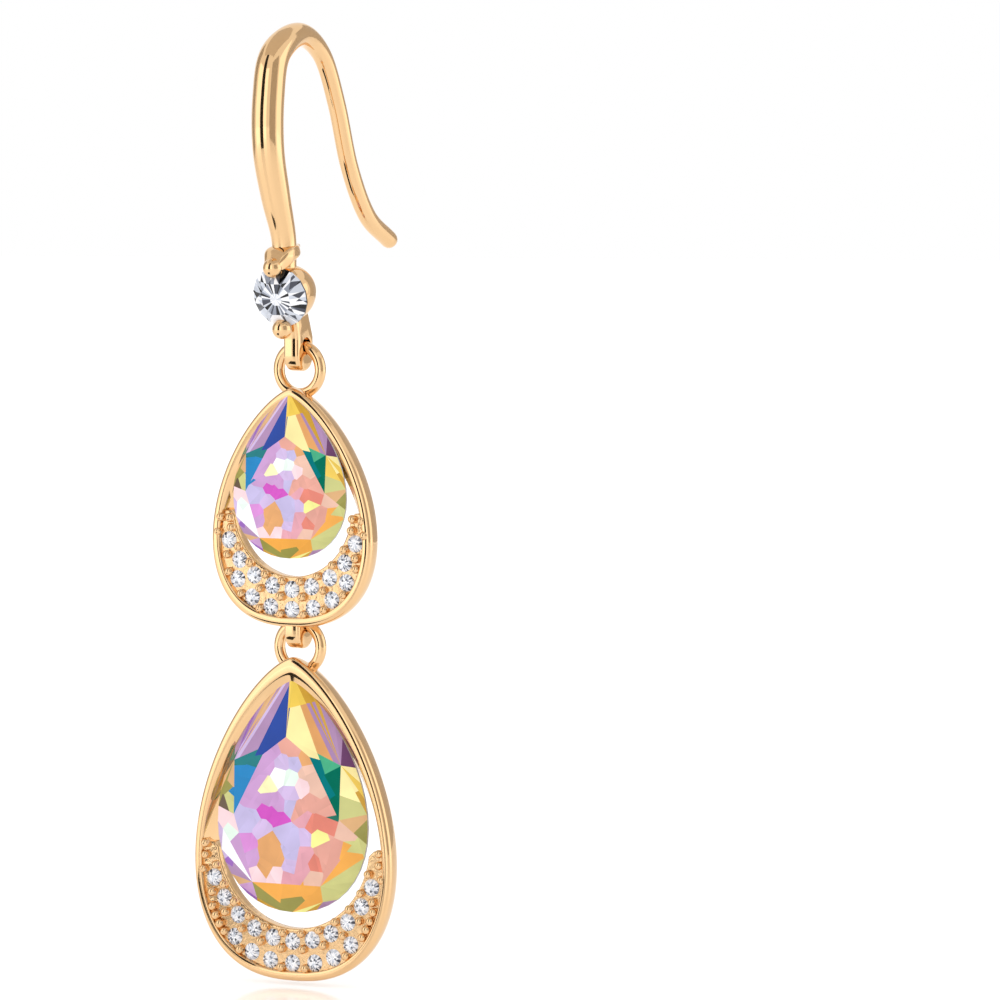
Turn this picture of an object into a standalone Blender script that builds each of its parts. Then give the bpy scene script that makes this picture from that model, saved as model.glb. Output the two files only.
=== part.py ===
"""Drop earring with two teardrop pendants: a bent ear wire with a round stone, and two framed pear stones.

The earring hangs in the XZ plane and faces -Y. The ear wire lies in the YZ plane. The origin is the inside
of the wire's arch, where it rests in the ear. Units are metres, +Z is up.
"""

import math

import bmesh
import bpy
from mathutils import Matrix, Vector

MM = 0.001

# Ear wire
WIRE_DIAMETER = 1.06 * MM
WIRE_FRONT_DIAMETER = 1.85 * MM
WIRE_DROP = 11.4 * MM
WIRE_FRONT_REACH = 3.45 * MM
WIRE_BACK_REACH = 10.4 * MM

# Round stone and its cup
ROUND_DIAMETER = 3.5 * MM
ROUND_DROP = 14.2 * MM
ROUND_FORWARD = 2.1 * MM
ROUND_TILT = math.radians(16)
CUP_DEPTH = 2.65 * MM
CUP_INSET = 0.13 * MM
BEAD_DIAMETER = 1.15 * MM

# Links
RING_DIAMETER = 3.4 * MM
RING_WIRE = 0.66 * MM
LUG_WIDTH = 1.0 * MM
LUG_DEPTH = 1.8 * MM
LUG_REACH = 1.45 * MM
LUG_BACK = 0.75 * MM
LUG_BEVEL = 0.14 * MM
LUG_NECK = 1.06 * MM
LINK_PLAY = 0.14 * MM
LUG_BELOW_SEAT = 0.4
LUG_UNDER_SEAT = 0.28
SLOT_SETBACK = 0.82
SLOT_OVERLAP = 0.02
RING_SIDES = 8

# Teardrop bands
BAND_FRONT = 1.15 * MM
BAND_DEPTH = 1.8 * MM
RIM_WIDTH = 0.55 * MM
BAND_BACK_EDGE = 0.27 * MM
BAND_LEAN = 0.55 * MM
BAND_ROUND = 0.12 * MM
TIP_POWER = 0.7
BASE_POWER = 0.4
LEDGE_DEPTH = 0.15
LEDGE_TIP = 2.7
LEDGE_BACK_TIP = 3.0
BULGE_DEPTH = 0.3
LEAN_DEPTH = 0.65
LEAN_START = 0.25
PLATE_INTO_RIM = 0.7

# Upper drop: the frame is the stone's size plus a margin at the sides, and plus the tip, gap and crescent
UPPER_STONE_WIDTH = 7.5 * MM
UPPER_STONE_HEIGHT = 9.3 * MM
UPPER_STONE_FORWARD = 1.1 * MM
UPPER_STONE_TIP = 0.45 * MM
UPPER_MARGIN = 1.55 * MM
UPPER_GAP = 1.05 * MM
UPPER_CRESCENT = 2.9 * MM
UPPER_HORN = 1.42 * MM
UPPER_RIM_TOP = 0.46 * MM
UPPER_RING_SINK = 0.38 * MM
UPPER_INNER_COUNT = 9
UPPER_OUTER_COUNT = 7

# Lower drop
LOWER_STONE_WIDTH = 10.0 * MM
LOWER_STONE_HEIGHT = 13.5 * MM
LOWER_STONE_FORWARD = 0.85 * MM
LOWER_STONE_TIP = 1.15 * MM
LOWER_MARGIN = 1.55 * MM
LOWER_GAP = 0.95 * MM
LOWER_CRESCENT = 3.0 * MM
LOWER_HORN = 1.51 * MM
LOWER_RIM_TOP = 0.9 * MM
LOWER_RING_SINK = 0.85 * MM
LOWER_INNER_COUNT = 11
LOWER_OUTER_COUNT = 7

# Pave plates
PLATE_SETBACK = 0.25 * MM
PLATE_THICKNESS = 0.8 * MM
PAVE_DIAMETER = 1.0 * MM
PAVE_PITCH = 1.32 * MM
PAVE_SPREAD = 1.04
PAVE_EDGE = 0.72 * MM
PAVE_RIM = 1.02 * MM
PAVE_ROOM = 0.1 * MM
HORN_RISE = 0.12
PEG_DIAMETER = 0.4 * MM
PEG_HEIGHT = 0.2 * MM
PEG_SIDES = 6
PEG_SHOULDER = 0.6
PEG_OFFSET = 0.46

# Cut of the stones, as shares of their width
PEAR_TIP_POWER = 0.8
PEAR_BASE_POWER = 0.48
PEAR_CROWN = 0.075
PEAR_PAVILION = 0.26
PEAR_KEEL = (0.5, 0.68)
GIRDLE = 0.015
BRILLIANT_TABLE = 0.56
BRILLIANT_CROWN = 0.16
BRILLIANT_PAVILION = 0.43

# Room between neighbours
SEAT_PLAY = 0.03 * MM
SLOT_PLAY = 0.1 * MM
HINGE_RISE = 0.2 * MM
WELD = SEAT_PLAY / 100

# Fineness of the meshes
BAND_STEPS = 20
ARC_STEPS = 20
PEAR_STEPS = 9
PACE_STEPS = 200
ROUND_SIDES = 16
PAVE_SIDES = 8

# Centre line of the ear wire from its foot, over the arch to its free end. The columns are the height as a
# share of the drop, the reach as a share of the front or back reach, and the thickness from 0 for the plain
# wire to 1.
ARCH_SWELL = 0.45
WIRE_ROUTE = (
    (-1.10, -0.48, 0.45),
    (-0.95, -0.51, 0.50),
    (-0.76, -0.76, 0.82),
    (-0.54, -0.98, 0.98),
    (-0.30, -0.98, 1.00),
    (-0.10, -0.76, 0.90),
    (0.0, 0.0, ARCH_SWELL),
    (-0.09, 0.24, 0.08),
    (-0.32, 0.40, 0.0),
    (-0.62, 0.54, 0.0),
    (-0.85, 0.73, 0.0),
    (-0.98, 1.0, 0.0),
)

# Bowl of the cup behind the round stone: radius as a share of its mouth, and depth as a share of its depth.
CUP_BOWL = (
    (0.0, 0.0),
    (1.0, 0.0),
    (1.02, 0.25),
    (0.98, 0.45),
    (0.84, 0.66),
    (0.58, 0.86),
    (0.28, 0.97),
    (0.0, 1.0),
)
BEAD_OUT = 0.05
BEAD_FORWARD = 0.3
STRAP_SWELL = (0.8, 1.0, 0.85)

# Lug under the cup: depth as a share of its own, and height between the foot of the cup and the hinge.
SHOULDER_BACK = (0.2, 0.4)
SHOULDER_FRONT = (1.0, 0.35)
SHOULDER_LIP = (0.4, 0.1)

# Table corners of a pear stone: half-width and depth from the tip, as shares of the stone.
PEAR_TABLE = ((0.0, 0.25), (0.32, 0.33), (0.70, 0.59), (0.455, 0.875))

FRONT = Matrix(((1, 0, 0, 0), (0, 0, -1, 0), (0, 1, 0, 0), (0, 0, 0, 1)))
SIDE = Matrix(((0, 0, 1, 0), (1, 0, 0, 0), (0, 1, 0, 0), (0, 0, 0, 1)))


def clear_scene():
    for thing in list(bpy.data.objects):
        bpy.data.objects.remove(thing, do_unlink=True)


def new_collection(name, parent=None):
    collection = bpy.data.collections.new(name)
    home = parent or bpy.context.scene.collection
    home.children.link(collection)
    return collection


def new_material(name, colour, roughness, metallic, transmission=0.0):
    material = bpy.data.materials.new(name)
    material.use_nodes = True
    shader = material.node_tree.nodes["Principled BSDF"]
    shader.inputs["Base Color"].default_value = (*colour, 1.0)
    shader.inputs["Roughness"].default_value = roughness
    shader.inputs["Metallic"].default_value = metallic
    shader.inputs["Transmission Weight"].default_value = transmission
    material.diffuse_color = (*colour, 1.0)
    return material


def add_mesh(name, mesh, collection):
    thing = bpy.data.objects.new(name, mesh)
    collection.objects.link(thing)
    return thing


def add_bmesh(name, shape, collection):
    bmesh.ops.recalc_face_normals(shape, faces=shape.faces)
    mesh = bpy.data.meshes.new(name)
    shape.to_mesh(mesh)
    shape.free()
    return add_mesh(name, mesh, collection)


def finish_piece(thing, material, smooth_angle=None):
    thing.data.materials.append(material)
    if smooth_angle is not None:
        thing.data.shade_smooth()
        thing.data.set_sharp_from_angle(angle=smooth_angle)


def mesh_from_curve(name, curve, matrix, collection):
    """Turns a curve into a closed mesh with its caps welded."""
    guide = bpy.data.objects.new(name, curve)
    collection.objects.link(guide)
    guide.matrix_world = matrix
    bpy.context.view_layer.update()
    graph = bpy.context.evaluated_depsgraph_get()
    mesh = bpy.data.meshes.new_from_object(guide.evaluated_get(graph))
    bpy.data.objects.remove(guide, do_unlink=True)
    shape = bmesh.new()
    shape.from_mesh(mesh)
    bmesh.ops.remove_doubles(shape, verts=shape.verts, dist=WELD)
    shape.transform(matrix)
    bpy.data.meshes.remove(mesh)
    return add_bmesh(name, shape, collection)


def flat_solid(name, outlines, thickness, matrix, collection):
    """Extrudes closed outlines, the later ones being holes, to both sides of their plane."""
    curve = bpy.data.curves.new(name, "CURVE")
    curve.dimensions = "2D"
    curve.fill_mode = "BOTH"
    curve.extrude = thickness / 2
    for outline in outlines:
        spline = curve.splines.new("POLY")
        spline.points.add(len(outline) - 1)
        for point, (x, y) in zip(spline.points, outline):
            point.co = (x, y, 0.0, 1.0)
        spline.use_cyclic_u = True
    return mesh_from_curve(name, curve, matrix, collection)


def bevel_edges(thing, width):
    bevel = thing.modifiers.new("edges", "BEVEL")
    bevel.width = width
    bevel.segments = 1
    bevel.limit_method = "ANGLE"
    bevel.angle_limit = math.radians(50)


def hide_tool(tool):
    tool.hide_render = True
    tool.display_type = "WIRE"


def combine(target, tools, operation):
    """Joins to a piece, or cuts from it, everything that a collection holds."""
    boolean = target.modifiers.new(tools.name, "BOOLEAN")
    boolean.operation = operation
    boolean.solver = "EXACT"
    boolean.operand_type = "COLLECTION"
    boolean.collection = tools
    for tool in tools.objects:
        hide_tool(tool)


def fuse(target, tools):
    combine(target, tools, "UNION")


def cut(target, tools):
    combine(target, tools, "DIFFERENCE")


def teardrop_half(half_width, share, tip_power, base_power):
    """Half-width of a teardrop at a share of its height below the tip."""
    widest = tip_power / (tip_power + base_power)
    peak = widest**tip_power * (1 - widest) ** base_power
    return half_width * share**tip_power * (1 - share) ** base_power / peak


def teardrop_loop(half_width, top, bottom, steps, tip_power, base_power):
    """Closed teardrop outline from the tip down the right side and up the left one, as (x, z) points."""
    right = []
    for step in range(steps + 1):
        share = (1 - math.cos(math.pi * step / steps)) / 2
        right.append((teardrop_half(half_width, share, tip_power, base_power), top + (bottom - top) * share))
    left = [(-x, z) for x, z in reversed(right[1:-1])]
    return right + left


def arc_points(centre, radius, start, end, steps):
    """Points on an arc, with angles measured from straight down towards +X."""
    points = []
    for step in range(steps + 1):
        angle = start + (end - start) * step / steps
        points.append((centre[0] + radius * math.sin(angle), centre[1] - radius * math.cos(angle)))
    return points


def hull_piece(name, points, collection):
    shape = bmesh.new()
    for point in points:
        shape.verts.new(point)
    made = bmesh.ops.convex_hull(shape, input=shape.verts)
    loose = [v for v in made["geom_interior"] if isinstance(v, bmesh.types.BMVert)]
    bmesh.ops.delete(shape, geom=loose, context="VERTS")
    bmesh.ops.dissolve_limit(shape, angle_limit=math.radians(0.5), verts=shape.verts, edges=shape.edges)
    return add_bmesh(name, shape, collection)


def circle(radius, depth, sides, turn=0.0):
    """Ring of points round the Y axis, at a depth along it."""
    points = []
    for side in range(sides):
        angle = 2 * math.pi * (side + turn) / sides
        points.append(Vector((radius * math.sin(angle), depth, radius * math.cos(angle))))
    return points


def brilliant_points(diameter, sides, play=0.0):
    """Round brilliant facing -Y, with the middle of its girdle at the origin."""
    radius = diameter / 2 + play
    crown = diameter * BRILLIANT_CROWN + play
    table = diameter * BRILLIANT_TABLE / 2 + play
    edge = diameter * GIRDLE
    points = circle(table, -crown, sides, 0.5)
    points += circle(radius, -edge, sides)
    points += circle(radius, edge, sides)
    points.append(Vector((0, diameter * BRILLIANT_PAVILION + play, 0)))
    return points


def pear_points(width, height, top, forward, play=0.0):
    """Pear stone facing -Y, hanging from the height of its tip, with its girdle at a depth."""
    points = []
    table = -forward - width * PEAR_CROWN - play
    for across, down in PEAR_TABLE:
        for side in (-1, 1):
            x = side * (across * width / 2 + (play if across else 0.0))
            points.append(Vector((x, table, top - down * height)))
    girdle = teardrop_loop(
        width / 2 + play, top + play, top - height - play, PEAR_STEPS, PEAR_TIP_POWER, PEAR_BASE_POWER
    )
    for x, z in girdle:
        points.append(Vector((x, -forward - width * GIRDLE / 2 - play, z)))
        points.append(Vector((x, -forward + width * GIRDLE / 2, z)))
    back = -forward + width * PEAR_PAVILION + play
    for down in PEAR_KEEL:
        points.append(Vector((0, back, top - down * height)))
    return points


def turned(name, profile, sides, matrix, collection):
    """Turns a profile of (radius, depth) round the Y axis."""
    shape = bmesh.new()
    verts = [shape.verts.new((radius, depth, 0)) for radius, depth in profile]
    edges = [shape.edges.new(pair) for pair in zip(verts, verts[1:])]
    bmesh.ops.spin(
        shape,
        geom=verts + edges,
        cent=(0, 0, 0),
        axis=(0, 1, 0),
        angle=2 * math.pi,
        steps=sides,
        use_merge=True,
    )
    bmesh.ops.remove_doubles(shape, verts=shape.verts, dist=WELD)
    shape.transform(matrix)
    return add_bmesh(name, shape, collection)


def ball(name, centre, diameter, collection):
    shape = bmesh.new()
    place = Matrix.Translation(centre)
    bmesh.ops.create_uvsphere(shape, u_segments=10, v_segments=6, radius=diameter / 2, matrix=place)
    return add_bmesh(name, shape, collection)


def tube(name, points, diameters, resolution, sides_level, collection):
    """Round wire through points, with its own diameter at each."""
    curve = bpy.data.curves.new(name, "CURVE")
    curve.dimensions = "3D"
    curve.bevel_depth = 0.5
    curve.bevel_resolution = sides_level
    curve.resolution_u = resolution
    curve.use_fill_caps = True
    spline = curve.splines.new("BEZIER")
    spline.bezier_points.add(len(points) - 1)
    for knot, point, diameter in zip(spline.bezier_points, points, diameters):
        knot.co = point
        knot.radius = diameter
        knot.handle_left_type = "AUTO"
        knot.handle_right_type = "AUTO"
    return mesh_from_curve(name, curve, Matrix.Identity(4), collection)


def lug(name, hinge, top_points, collection):
    """Flat lug in the YZ plane with a round foot below the hinge, up to the points that join its body."""
    radius = LUG_DEPTH / 2
    middle = (LUG_BACK - radius, hinge - LUG_REACH + radius)
    outline = arc_points(middle, radius, -math.pi / 2, math.pi / 2, ARC_STEPS // 2) + top_points
    piece = flat_solid(name, (outline,), LUG_WIDTH, SIDE, collection)
    bevel_edges(piece, LUG_BEVEL)


def lug_hole(name, hinge, collection):
    """Hole for a ring's wire along X, flared at both ends because the ring curves away there."""
    radius = RING_WIRE / 2 + LINK_PLAY
    half = LUG_WIDTH / 2
    flare = radius + LUG_BEVEL + SLOT_PLAY
    outer = half + SLOT_PLAY
    inner = half - LUG_BEVEL
    profile = [(flare, -outer), (radius, -inner), (radius, inner), (flare, outer)]
    profile = [(0.0, profile[0][1])] + profile + [(0.0, profile[-1][1])]
    place = Matrix.Translation((0, 0, hinge)) @ Matrix.Rotation(-math.pi / 2, 4, "Z")
    turned(name, profile, ARC_STEPS, place, collection)


def ring(name, hinge, collection):
    """Round ring in the XZ plane that hangs with its wire's centre on the hinge."""
    radius = (RING_DIAMETER - RING_WIRE) / 2
    shape = bmesh.new()
    place = Matrix.Translation((radius, 0, 0))
    made = bmesh.ops.create_circle(shape, radius=RING_WIRE / 2, segments=RING_SIDES, matrix=place)
    edges = list({edge for vert in made["verts"] for edge in vert.link_edges})
    half_side = Matrix.Rotation(math.pi / RING_SIDES, 3, "Z")
    bmesh.ops.rotate(shape, verts=shape.verts, cent=place.translation, matrix=half_side)
    bmesh.ops.spin(
        shape,
        geom=made["verts"] + edges,
        cent=(0, 0, 0),
        axis=(0, 1, 0),
        angle=2 * math.pi,
        steps=ARC_STEPS,
        use_merge=True,
    )
    bmesh.ops.translate(shape, verts=shape.verts, vec=(0, 0, hinge - radius))
    return add_bmesh(name, shape, collection)


class Drop:
    """Sizes and places of one framed pear stone, worked out from its named sizes."""

    def __init__(self, name, stone, around, rim_top, ring_sink, counts, hinge):
        self.name = name
        self.stone_width, self.stone_height, self.stone_forward, self.stone_tip = stone
        margin, gap, crescent, horn = around
        self.rim_top = rim_top
        self.inner_count, self.outer_count = counts
        self.hinge = hinge
        self.half = self.stone_width / 2 + margin
        self.height = self.stone_tip + self.stone_height + gap + crescent
        self.top = hinge - (RING_DIAMETER - RING_WIRE) + ring_sink
        self.base = self.top - self.height
        self.stone_top = self.top - self.stone_tip
        self.gap_radius = self.half - horn
        self.gap_bottom = self.base + crescent
        self.gap_centre = (0.0, self.gap_bottom + self.gap_radius)
        self.plate_front = -BAND_FRONT + PLATE_SETBACK

    def section(self):
        """Rings round the band's section, as (depth, inset at the sides, at the tip and at the base)."""
        front = -BAND_FRONT
        back = front + BAND_DEPTH
        rim, top = RIM_WIDTH, self.rim_top
        ledge_depth = -self.stone_forward + LEDGE_DEPTH * BAND_DEPTH
        start = BAND_LEAN * LEAN_START
        inner = BAND_LEAN + BAND_BACK_EDGE
        return (
            (front, BAND_ROUND, BAND_ROUND, BAND_ROUND),
            (front, rim - BAND_ROUND, top - BAND_ROUND, rim - BAND_ROUND),
            (front + BAND_ROUND, rim, top, rim),
            (ledge_depth, rim + BAND_ROUND / 2, top + LEDGE_TIP * rim, rim + BAND_ROUND / 2),
            (back, inner, top + LEDGE_BACK_TIP * rim, inner),
            (back, BAND_LEAN, BAND_LEAN, BAND_LEAN),
            (front + LEAN_DEPTH * BAND_DEPTH, start, start, start),
            (front + BULGE_DEPTH * BAND_DEPTH, 0.0, 0.0, 0.0),
        )

    def band(self, collection):
        shape = bmesh.new()
        rings = []
        for depth, side, top, base in self.section():
            loop = teardrop_loop(
                self.half - side, self.top - top, self.base + base, BAND_STEPS, TIP_POWER, BASE_POWER
            )
            rings.append([shape.verts.new((x, depth, z)) for x, z in loop])
        for ring_a, ring_b in zip(rings, rings[1:] + rings[:1]):
            for index in range(len(ring_a)):
                after = (index + 1) % len(ring_a)
                shape.faces.new((ring_a[index], ring_a[after], ring_b[after], ring_b[index]))
        return add_bmesh(self.name + "_frame", shape, collection)

    def rim_loop(self, inset, steps):
        return teardrop_loop(
            self.half - inset, self.top - inset, self.base + inset, steps, TIP_POWER, BASE_POWER
        )

    def plate(self, collection):
        """Crescent between the gap and the rim, with its outer edge inside the band."""
        inset = RIM_WIDTH * PLATE_INTO_RIM
        centre_z = self.gap_centre[1]
        horn = centre_z - self.gap_radius * HORN_RISE
        lower = [(x, z) for x, z in self.rim_loop(inset, BAND_STEPS) if z < horn]
        share = (self.top - inset - horn) / (self.height - 2 * inset)
        half = teardrop_half(self.half - inset, share, TIP_POWER, BASE_POWER)
        reach = math.acos((centre_z - horn) / self.gap_radius)
        inner = arc_points(self.gap_centre, self.gap_radius, -reach, reach, ARC_STEPS)
        outline = inner + [(half, horn)] + lower + [(-half, horn)]
        middle = self.plate_front + PLATE_THICKNESS / 2
        place = Matrix.Translation((0, middle, 0)) @ FRONT
        return flat_solid(self.name + "_plate", (outline,), PLATE_THICKNESS, place, collection)

    def inner_places(self):
        """Centres of the stones along the gap."""
        radius = self.gap_radius + PAVE_EDGE
        step = PAVE_PITCH / radius
        count = self.inner_count // 2
        angles = [step * index for index in range(-count, count + 1)]
        return [self.on_arc(radius, angle) for angle in angles]

    def on_arc(self, radius, angle):
        return (radius * math.sin(angle), self.gap_centre[1] - radius * math.cos(angle))

    def outer_places(self):
        """Centres of the stones along the rim, paced out from the lowest while the inner row leaves room."""
        right = list(reversed(self.rim_loop(PAVE_RIM, PACE_STEPS)[: PACE_STEPS + 1]))
        inner = self.inner_places()
        places = []
        walked = 0.0
        for start, end in zip(right, right[1:]):
            if walked >= PAVE_PITCH * PAVE_SPREAD * len(places) and len(places) <= self.outer_count // 2:
                if min(math.dist(start, place) for place in inner) < PAVE_DIAMETER + PAVE_ROOM:
                    break
                places.append(start)
            walked += math.dist(start, end)
        left = [(-x, z) for x, z in reversed(places[1:])]
        return left + places

    def lug_joins(self):
        """Outline of a bottom lug inside the band, behind the seat of the lowest stone."""
        seat = self.base + PAVE_RIM
        behind = self.plate_front + PAVE_DIAMETER * BRILLIANT_PAVILION + PAVE_ROOM
        below = seat - PAVE_DIAMETER * LUG_BELOW_SEAT
        return [
            (LUG_BACK, seat),
            (behind, seat),
            (self.plate_front + PAVE_DIAMETER * LUG_UNDER_SEAT, below),
            (LUG_BACK - LUG_DEPTH, self.base + RIM_WIDTH / 2),
        ]

    def peg_places(self):
        """Prongs between the stones, on the gap's edge and between the two rows."""
        radius = self.gap_radius + PAVE_EDGE
        step = PAVE_PITCH / radius
        count = self.inner_count // 2
        middles = [step * (index + 0.5) for index in range(-count, count)]
        off = PAVE_DIAMETER * PEG_OFFSET
        inside = [self.on_arc(radius - off, angle) for angle in middles]
        outside = [self.on_arc(radius + off, angle) for angle in middles]
        clear = PAVE_DIAMETER / 2 + PEG_DIAMETER / 2 + SEAT_PLAY
        stones = self.inner_places() + self.outer_places()
        places = []
        for peg in inside + outside:
            off_stones = min(math.dist(peg, stone) for stone in stones) > clear
            off_pegs = all(math.dist(peg, other) > PEG_DIAMETER + SEAT_PLAY for other in places)
            if off_stones and off_pegs:
                places.append(peg)
        return places


def convex_set(name, places, depth, points, collection):
    """One tool with the same convex shape at every place."""
    shape = bmesh.new()
    for x, z in places:
        verts = [shape.verts.new(point + Vector((x, depth, z))) for point in points]
        bmesh.ops.convex_hull(shape, input=verts)
    return add_bmesh(name, shape, collection)


def peg_points():
    radius = PEG_DIAMETER / 2
    foot = circle(radius, PEG_HEIGHT, PEG_SIDES)
    shoulder = circle(radius, -PEG_HEIGHT * PEG_SHOULDER, PEG_SIDES)
    return foot + shoulder + circle(radius / 2, -PEG_HEIGHT, PEG_SIDES)


def build_frame(drop, parts, tools, gold, lug_hinge=None):
    """Band with its ring, plate and prongs, its seats cut, and a lug where another drop hangs from it."""
    frame = drop.band(parts)
    joined = new_collection(drop.name + "_joined", tools)
    drop.plate(joined)
    ring(drop.name + "_ring", drop.hinge, joined)
    convex_set(drop.name + "_pegs", drop.peg_places(), drop.plate_front, peg_points(), joined)
    cuts = new_collection(drop.name + "_cuts", tools)
    pear = pear_points(drop.stone_width, drop.stone_height, drop.stone_top, drop.stone_forward, SEAT_PLAY)
    hull_piece(drop.name + "_pear_seat", pear, cuts)
    places = drop.inner_places() + drop.outer_places()
    seat = brilliant_points(PAVE_DIAMETER, PAVE_SIDES, SEAT_PLAY)
    convex_set(drop.name + "_pave_seats", places, drop.plate_front, seat, cuts)
    if lug_hinge is not None:
        lug(drop.name + "_lug", lug_hinge, drop.lug_joins(), joined)
        lug_hole(drop.name + "_lug_hole", lug_hinge, cuts)
        ring_slots(drop, lug_hinge, cuts)
    fuse(frame, joined)
    cut(frame, cuts)
    finish_piece(frame, gold, math.radians(35))


def build_stones(drop, parts, pear_glass, clear_glass):
    pear = pear_points(drop.stone_width, drop.stone_height, drop.stone_top, drop.stone_forward)
    finish_piece(hull_piece(drop.name + "_pear_stone", pear, parts), pear_glass)
    mesh = None
    places = drop.inner_places() + drop.outer_places()
    for number, (x, z) in enumerate(places, 1):
        name = f"{drop.name}_pave_{number:02d}"
        if mesh is None:
            stone = hull_piece(name, brilliant_points(PAVE_DIAMETER, PAVE_SIDES), parts)
            finish_piece(stone, clear_glass)
            mesh = stone.data
        else:
            stone = add_mesh(name, mesh, parts)
        stone.location = (x, drop.plate_front, z)


def ring_slots(drop, hinge, collection):
    """Slots in the underside of a band, behind its rim and beside its lug, for the top of the next ring."""
    front = -BAND_FRONT + RIM_WIDTH * SLOT_SETBACK
    inner = LUG_WIDTH / 2 - LUG_WIDTH * SLOT_OVERLAP / 2
    outer = RING_DIAMETER / 2 + SLOT_PLAY
    rise = hinge + RING_WIRE / 2 + SLOT_PLAY - drop.base
    size = Matrix.Diagonal((outer - inner, BAND_DEPTH, 2 * rise, 1))
    for side, word in ((-1, "left"), (1, "right")):
        shape = bmesh.new()
        middle = Matrix.Translation((side * (outer + inner) / 2, front + BAND_DEPTH / 2, drop.base))
        bmesh.ops.create_cube(shape, size=1.0, matrix=middle @ size)
        add_bmesh(f"{drop.name}_slot_{word}", shape, collection)


def wire_points():
    points = []
    sizes = []
    arch = (WIRE_DIAMETER + ARCH_SWELL * (WIRE_FRONT_DIAMETER - WIRE_DIAMETER)) / 2
    for height, reach, thick in WIRE_ROUTE:
        across = reach * (WIRE_BACK_REACH if reach > 0 else WIRE_FRONT_REACH)
        points.append((0.0, across, arch + height * (WIRE_DROP + arch)))
        sizes.append(WIRE_DIAMETER + thick * (WIRE_FRONT_DIAMETER - WIRE_DIAMETER))
    return points, sizes


def build_hook(parts, tools, gold, glass):
    """Ear wire with its cup, prongs and lug, and the round stone."""
    points, sizes = wire_points()
    hook = tube("ear_hook", points, sizes, 4, 3, parts)
    centre = Vector((0, -ROUND_FORWARD, -ROUND_DROP))
    tilt = Matrix.Translation(centre) @ Matrix.Rotation(ROUND_TILT, 4, "X")
    mouth = ROUND_DIAMETER / 2 - CUP_INSET
    profile = [(mouth * out, CUP_DEPTH * down) for out, down in CUP_BOWL]
    joined = new_collection("hook_joined", tools)
    turned("setting_cup", profile, ROUND_SIDES, tilt, joined)
    hold = ROUND_DIAMETER / 2 + BEAD_DIAMETER * BEAD_OUT
    forward = BEAD_DIAMETER * BEAD_FORWARD
    upper = tilt @ Vector((0, -forward, hold))
    lower = tilt @ Vector((0, -forward, -hold))
    root = Vector(points[1])
    strap = [root + Vector((0, 0, forward)), root.lerp(upper, 0.5), upper]
    swell = [wide * narrow for wide, narrow in zip((sizes[1], BEAD_DIAMETER, BEAD_DIAMETER), STRAP_SWELL)]
    tube("top_prong", strap, swell, 3, 2, joined)
    ball("top_bead", upper, BEAD_DIAMETER, joined)
    ball("bottom_bead", lower, BEAD_DIAMETER, joined)
    hinge = upper_hinge()
    front = LUG_BACK - LUG_DEPTH
    neck = -ROUND_DROP - ROUND_DIAMETER / 2
    joins = [
        (LUG_BACK, hinge + LUG_NECK / 2),
        (LUG_BACK * SHOULDER_BACK[0], neck + CUP_DEPTH * SHOULDER_BACK[1]),
        (front * SHOULDER_FRONT[0], neck + CUP_DEPTH * SHOULDER_FRONT[1]),
        (front - RIM_WIDTH * SHOULDER_LIP[0], neck + CUP_DEPTH * SHOULDER_LIP[1]),
        (front, hinge + LUG_NECK / 2),
    ]
    lug("hook_lug", hinge, joins, joined)
    fuse(hook, joined)
    cuts = new_collection("hook_cuts", tools)
    lug_hole("hook_lug_hole", hinge, cuts)
    seat = brilliant_points(ROUND_DIAMETER, ROUND_SIDES, SEAT_PLAY)
    hull_piece("round_seat", [tilt @ point for point in seat], cuts)
    cut(hook, cuts)
    finish_piece(hook, gold, math.radians(35))
    stone = [tilt @ point for point in brilliant_points(ROUND_DIAMETER, ROUND_SIDES)]
    finish_piece(hull_piece("round_stone", stone, parts), glass)


def upper_hinge():
    return -ROUND_DROP - ROUND_DIAMETER / 2 - LUG_NECK


def main():
    clear_scene()
    parts = new_collection("teardrop_earring")
    tools = new_collection("tools")
    gold = new_material("gold_plate", (0.86, 0.58, 0.24), 0.12, 1.0)
    clear_glass = new_material("clear_stone", (0.92, 0.93, 0.95), 0.03, 0.0, 0.6)
    pear_glass = new_material("rainbow_crystal", (0.82, 0.55, 0.74), 0.05, 0.0, 0.3)
    build_hook(parts, tools, gold, clear_glass)
    upper = Drop(
        "upper",
        (UPPER_STONE_WIDTH, UPPER_STONE_HEIGHT, UPPER_STONE_FORWARD, UPPER_STONE_TIP),
        (UPPER_MARGIN, UPPER_GAP, UPPER_CRESCENT, UPPER_HORN),
        UPPER_RIM_TOP,
        UPPER_RING_SINK,
        (UPPER_INNER_COUNT, UPPER_OUTER_COUNT),
        upper_hinge(),
    )
    lower_hinge = upper.base + HINGE_RISE
    lower = Drop(
        "lower",
        (LOWER_STONE_WIDTH, LOWER_STONE_HEIGHT, LOWER_STONE_FORWARD, LOWER_STONE_TIP),
        (LOWER_MARGIN, LOWER_GAP, LOWER_CRESCENT, LOWER_HORN),
        LOWER_RIM_TOP,
        LOWER_RING_SINK,
        (LOWER_INNER_COUNT, LOWER_OUTER_COUNT),
        lower_hinge,
    )
    build_frame(upper, parts, tools, gold, lower_hinge)
    build_frame(lower, parts, tools, gold)
    build_stones(upper, parts, pear_glass, clear_glass)
    build_stones(lower, parts, pear_glass, clear_glass)


main()
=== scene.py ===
"""Drop earring with two framed teardrop stones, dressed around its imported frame.

Every length is in metres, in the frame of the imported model: the earring hangs from the origin, faces -Y, and
its ear wire lies in the YZ plane. Gold pieces and cut stones are built finely and stand for the plain solids.
"""

import logging
import math
import random
from dataclasses import dataclass
from enum import Enum

import bmesh
import bpy
from mathutils import Matrix, Vector


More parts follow.
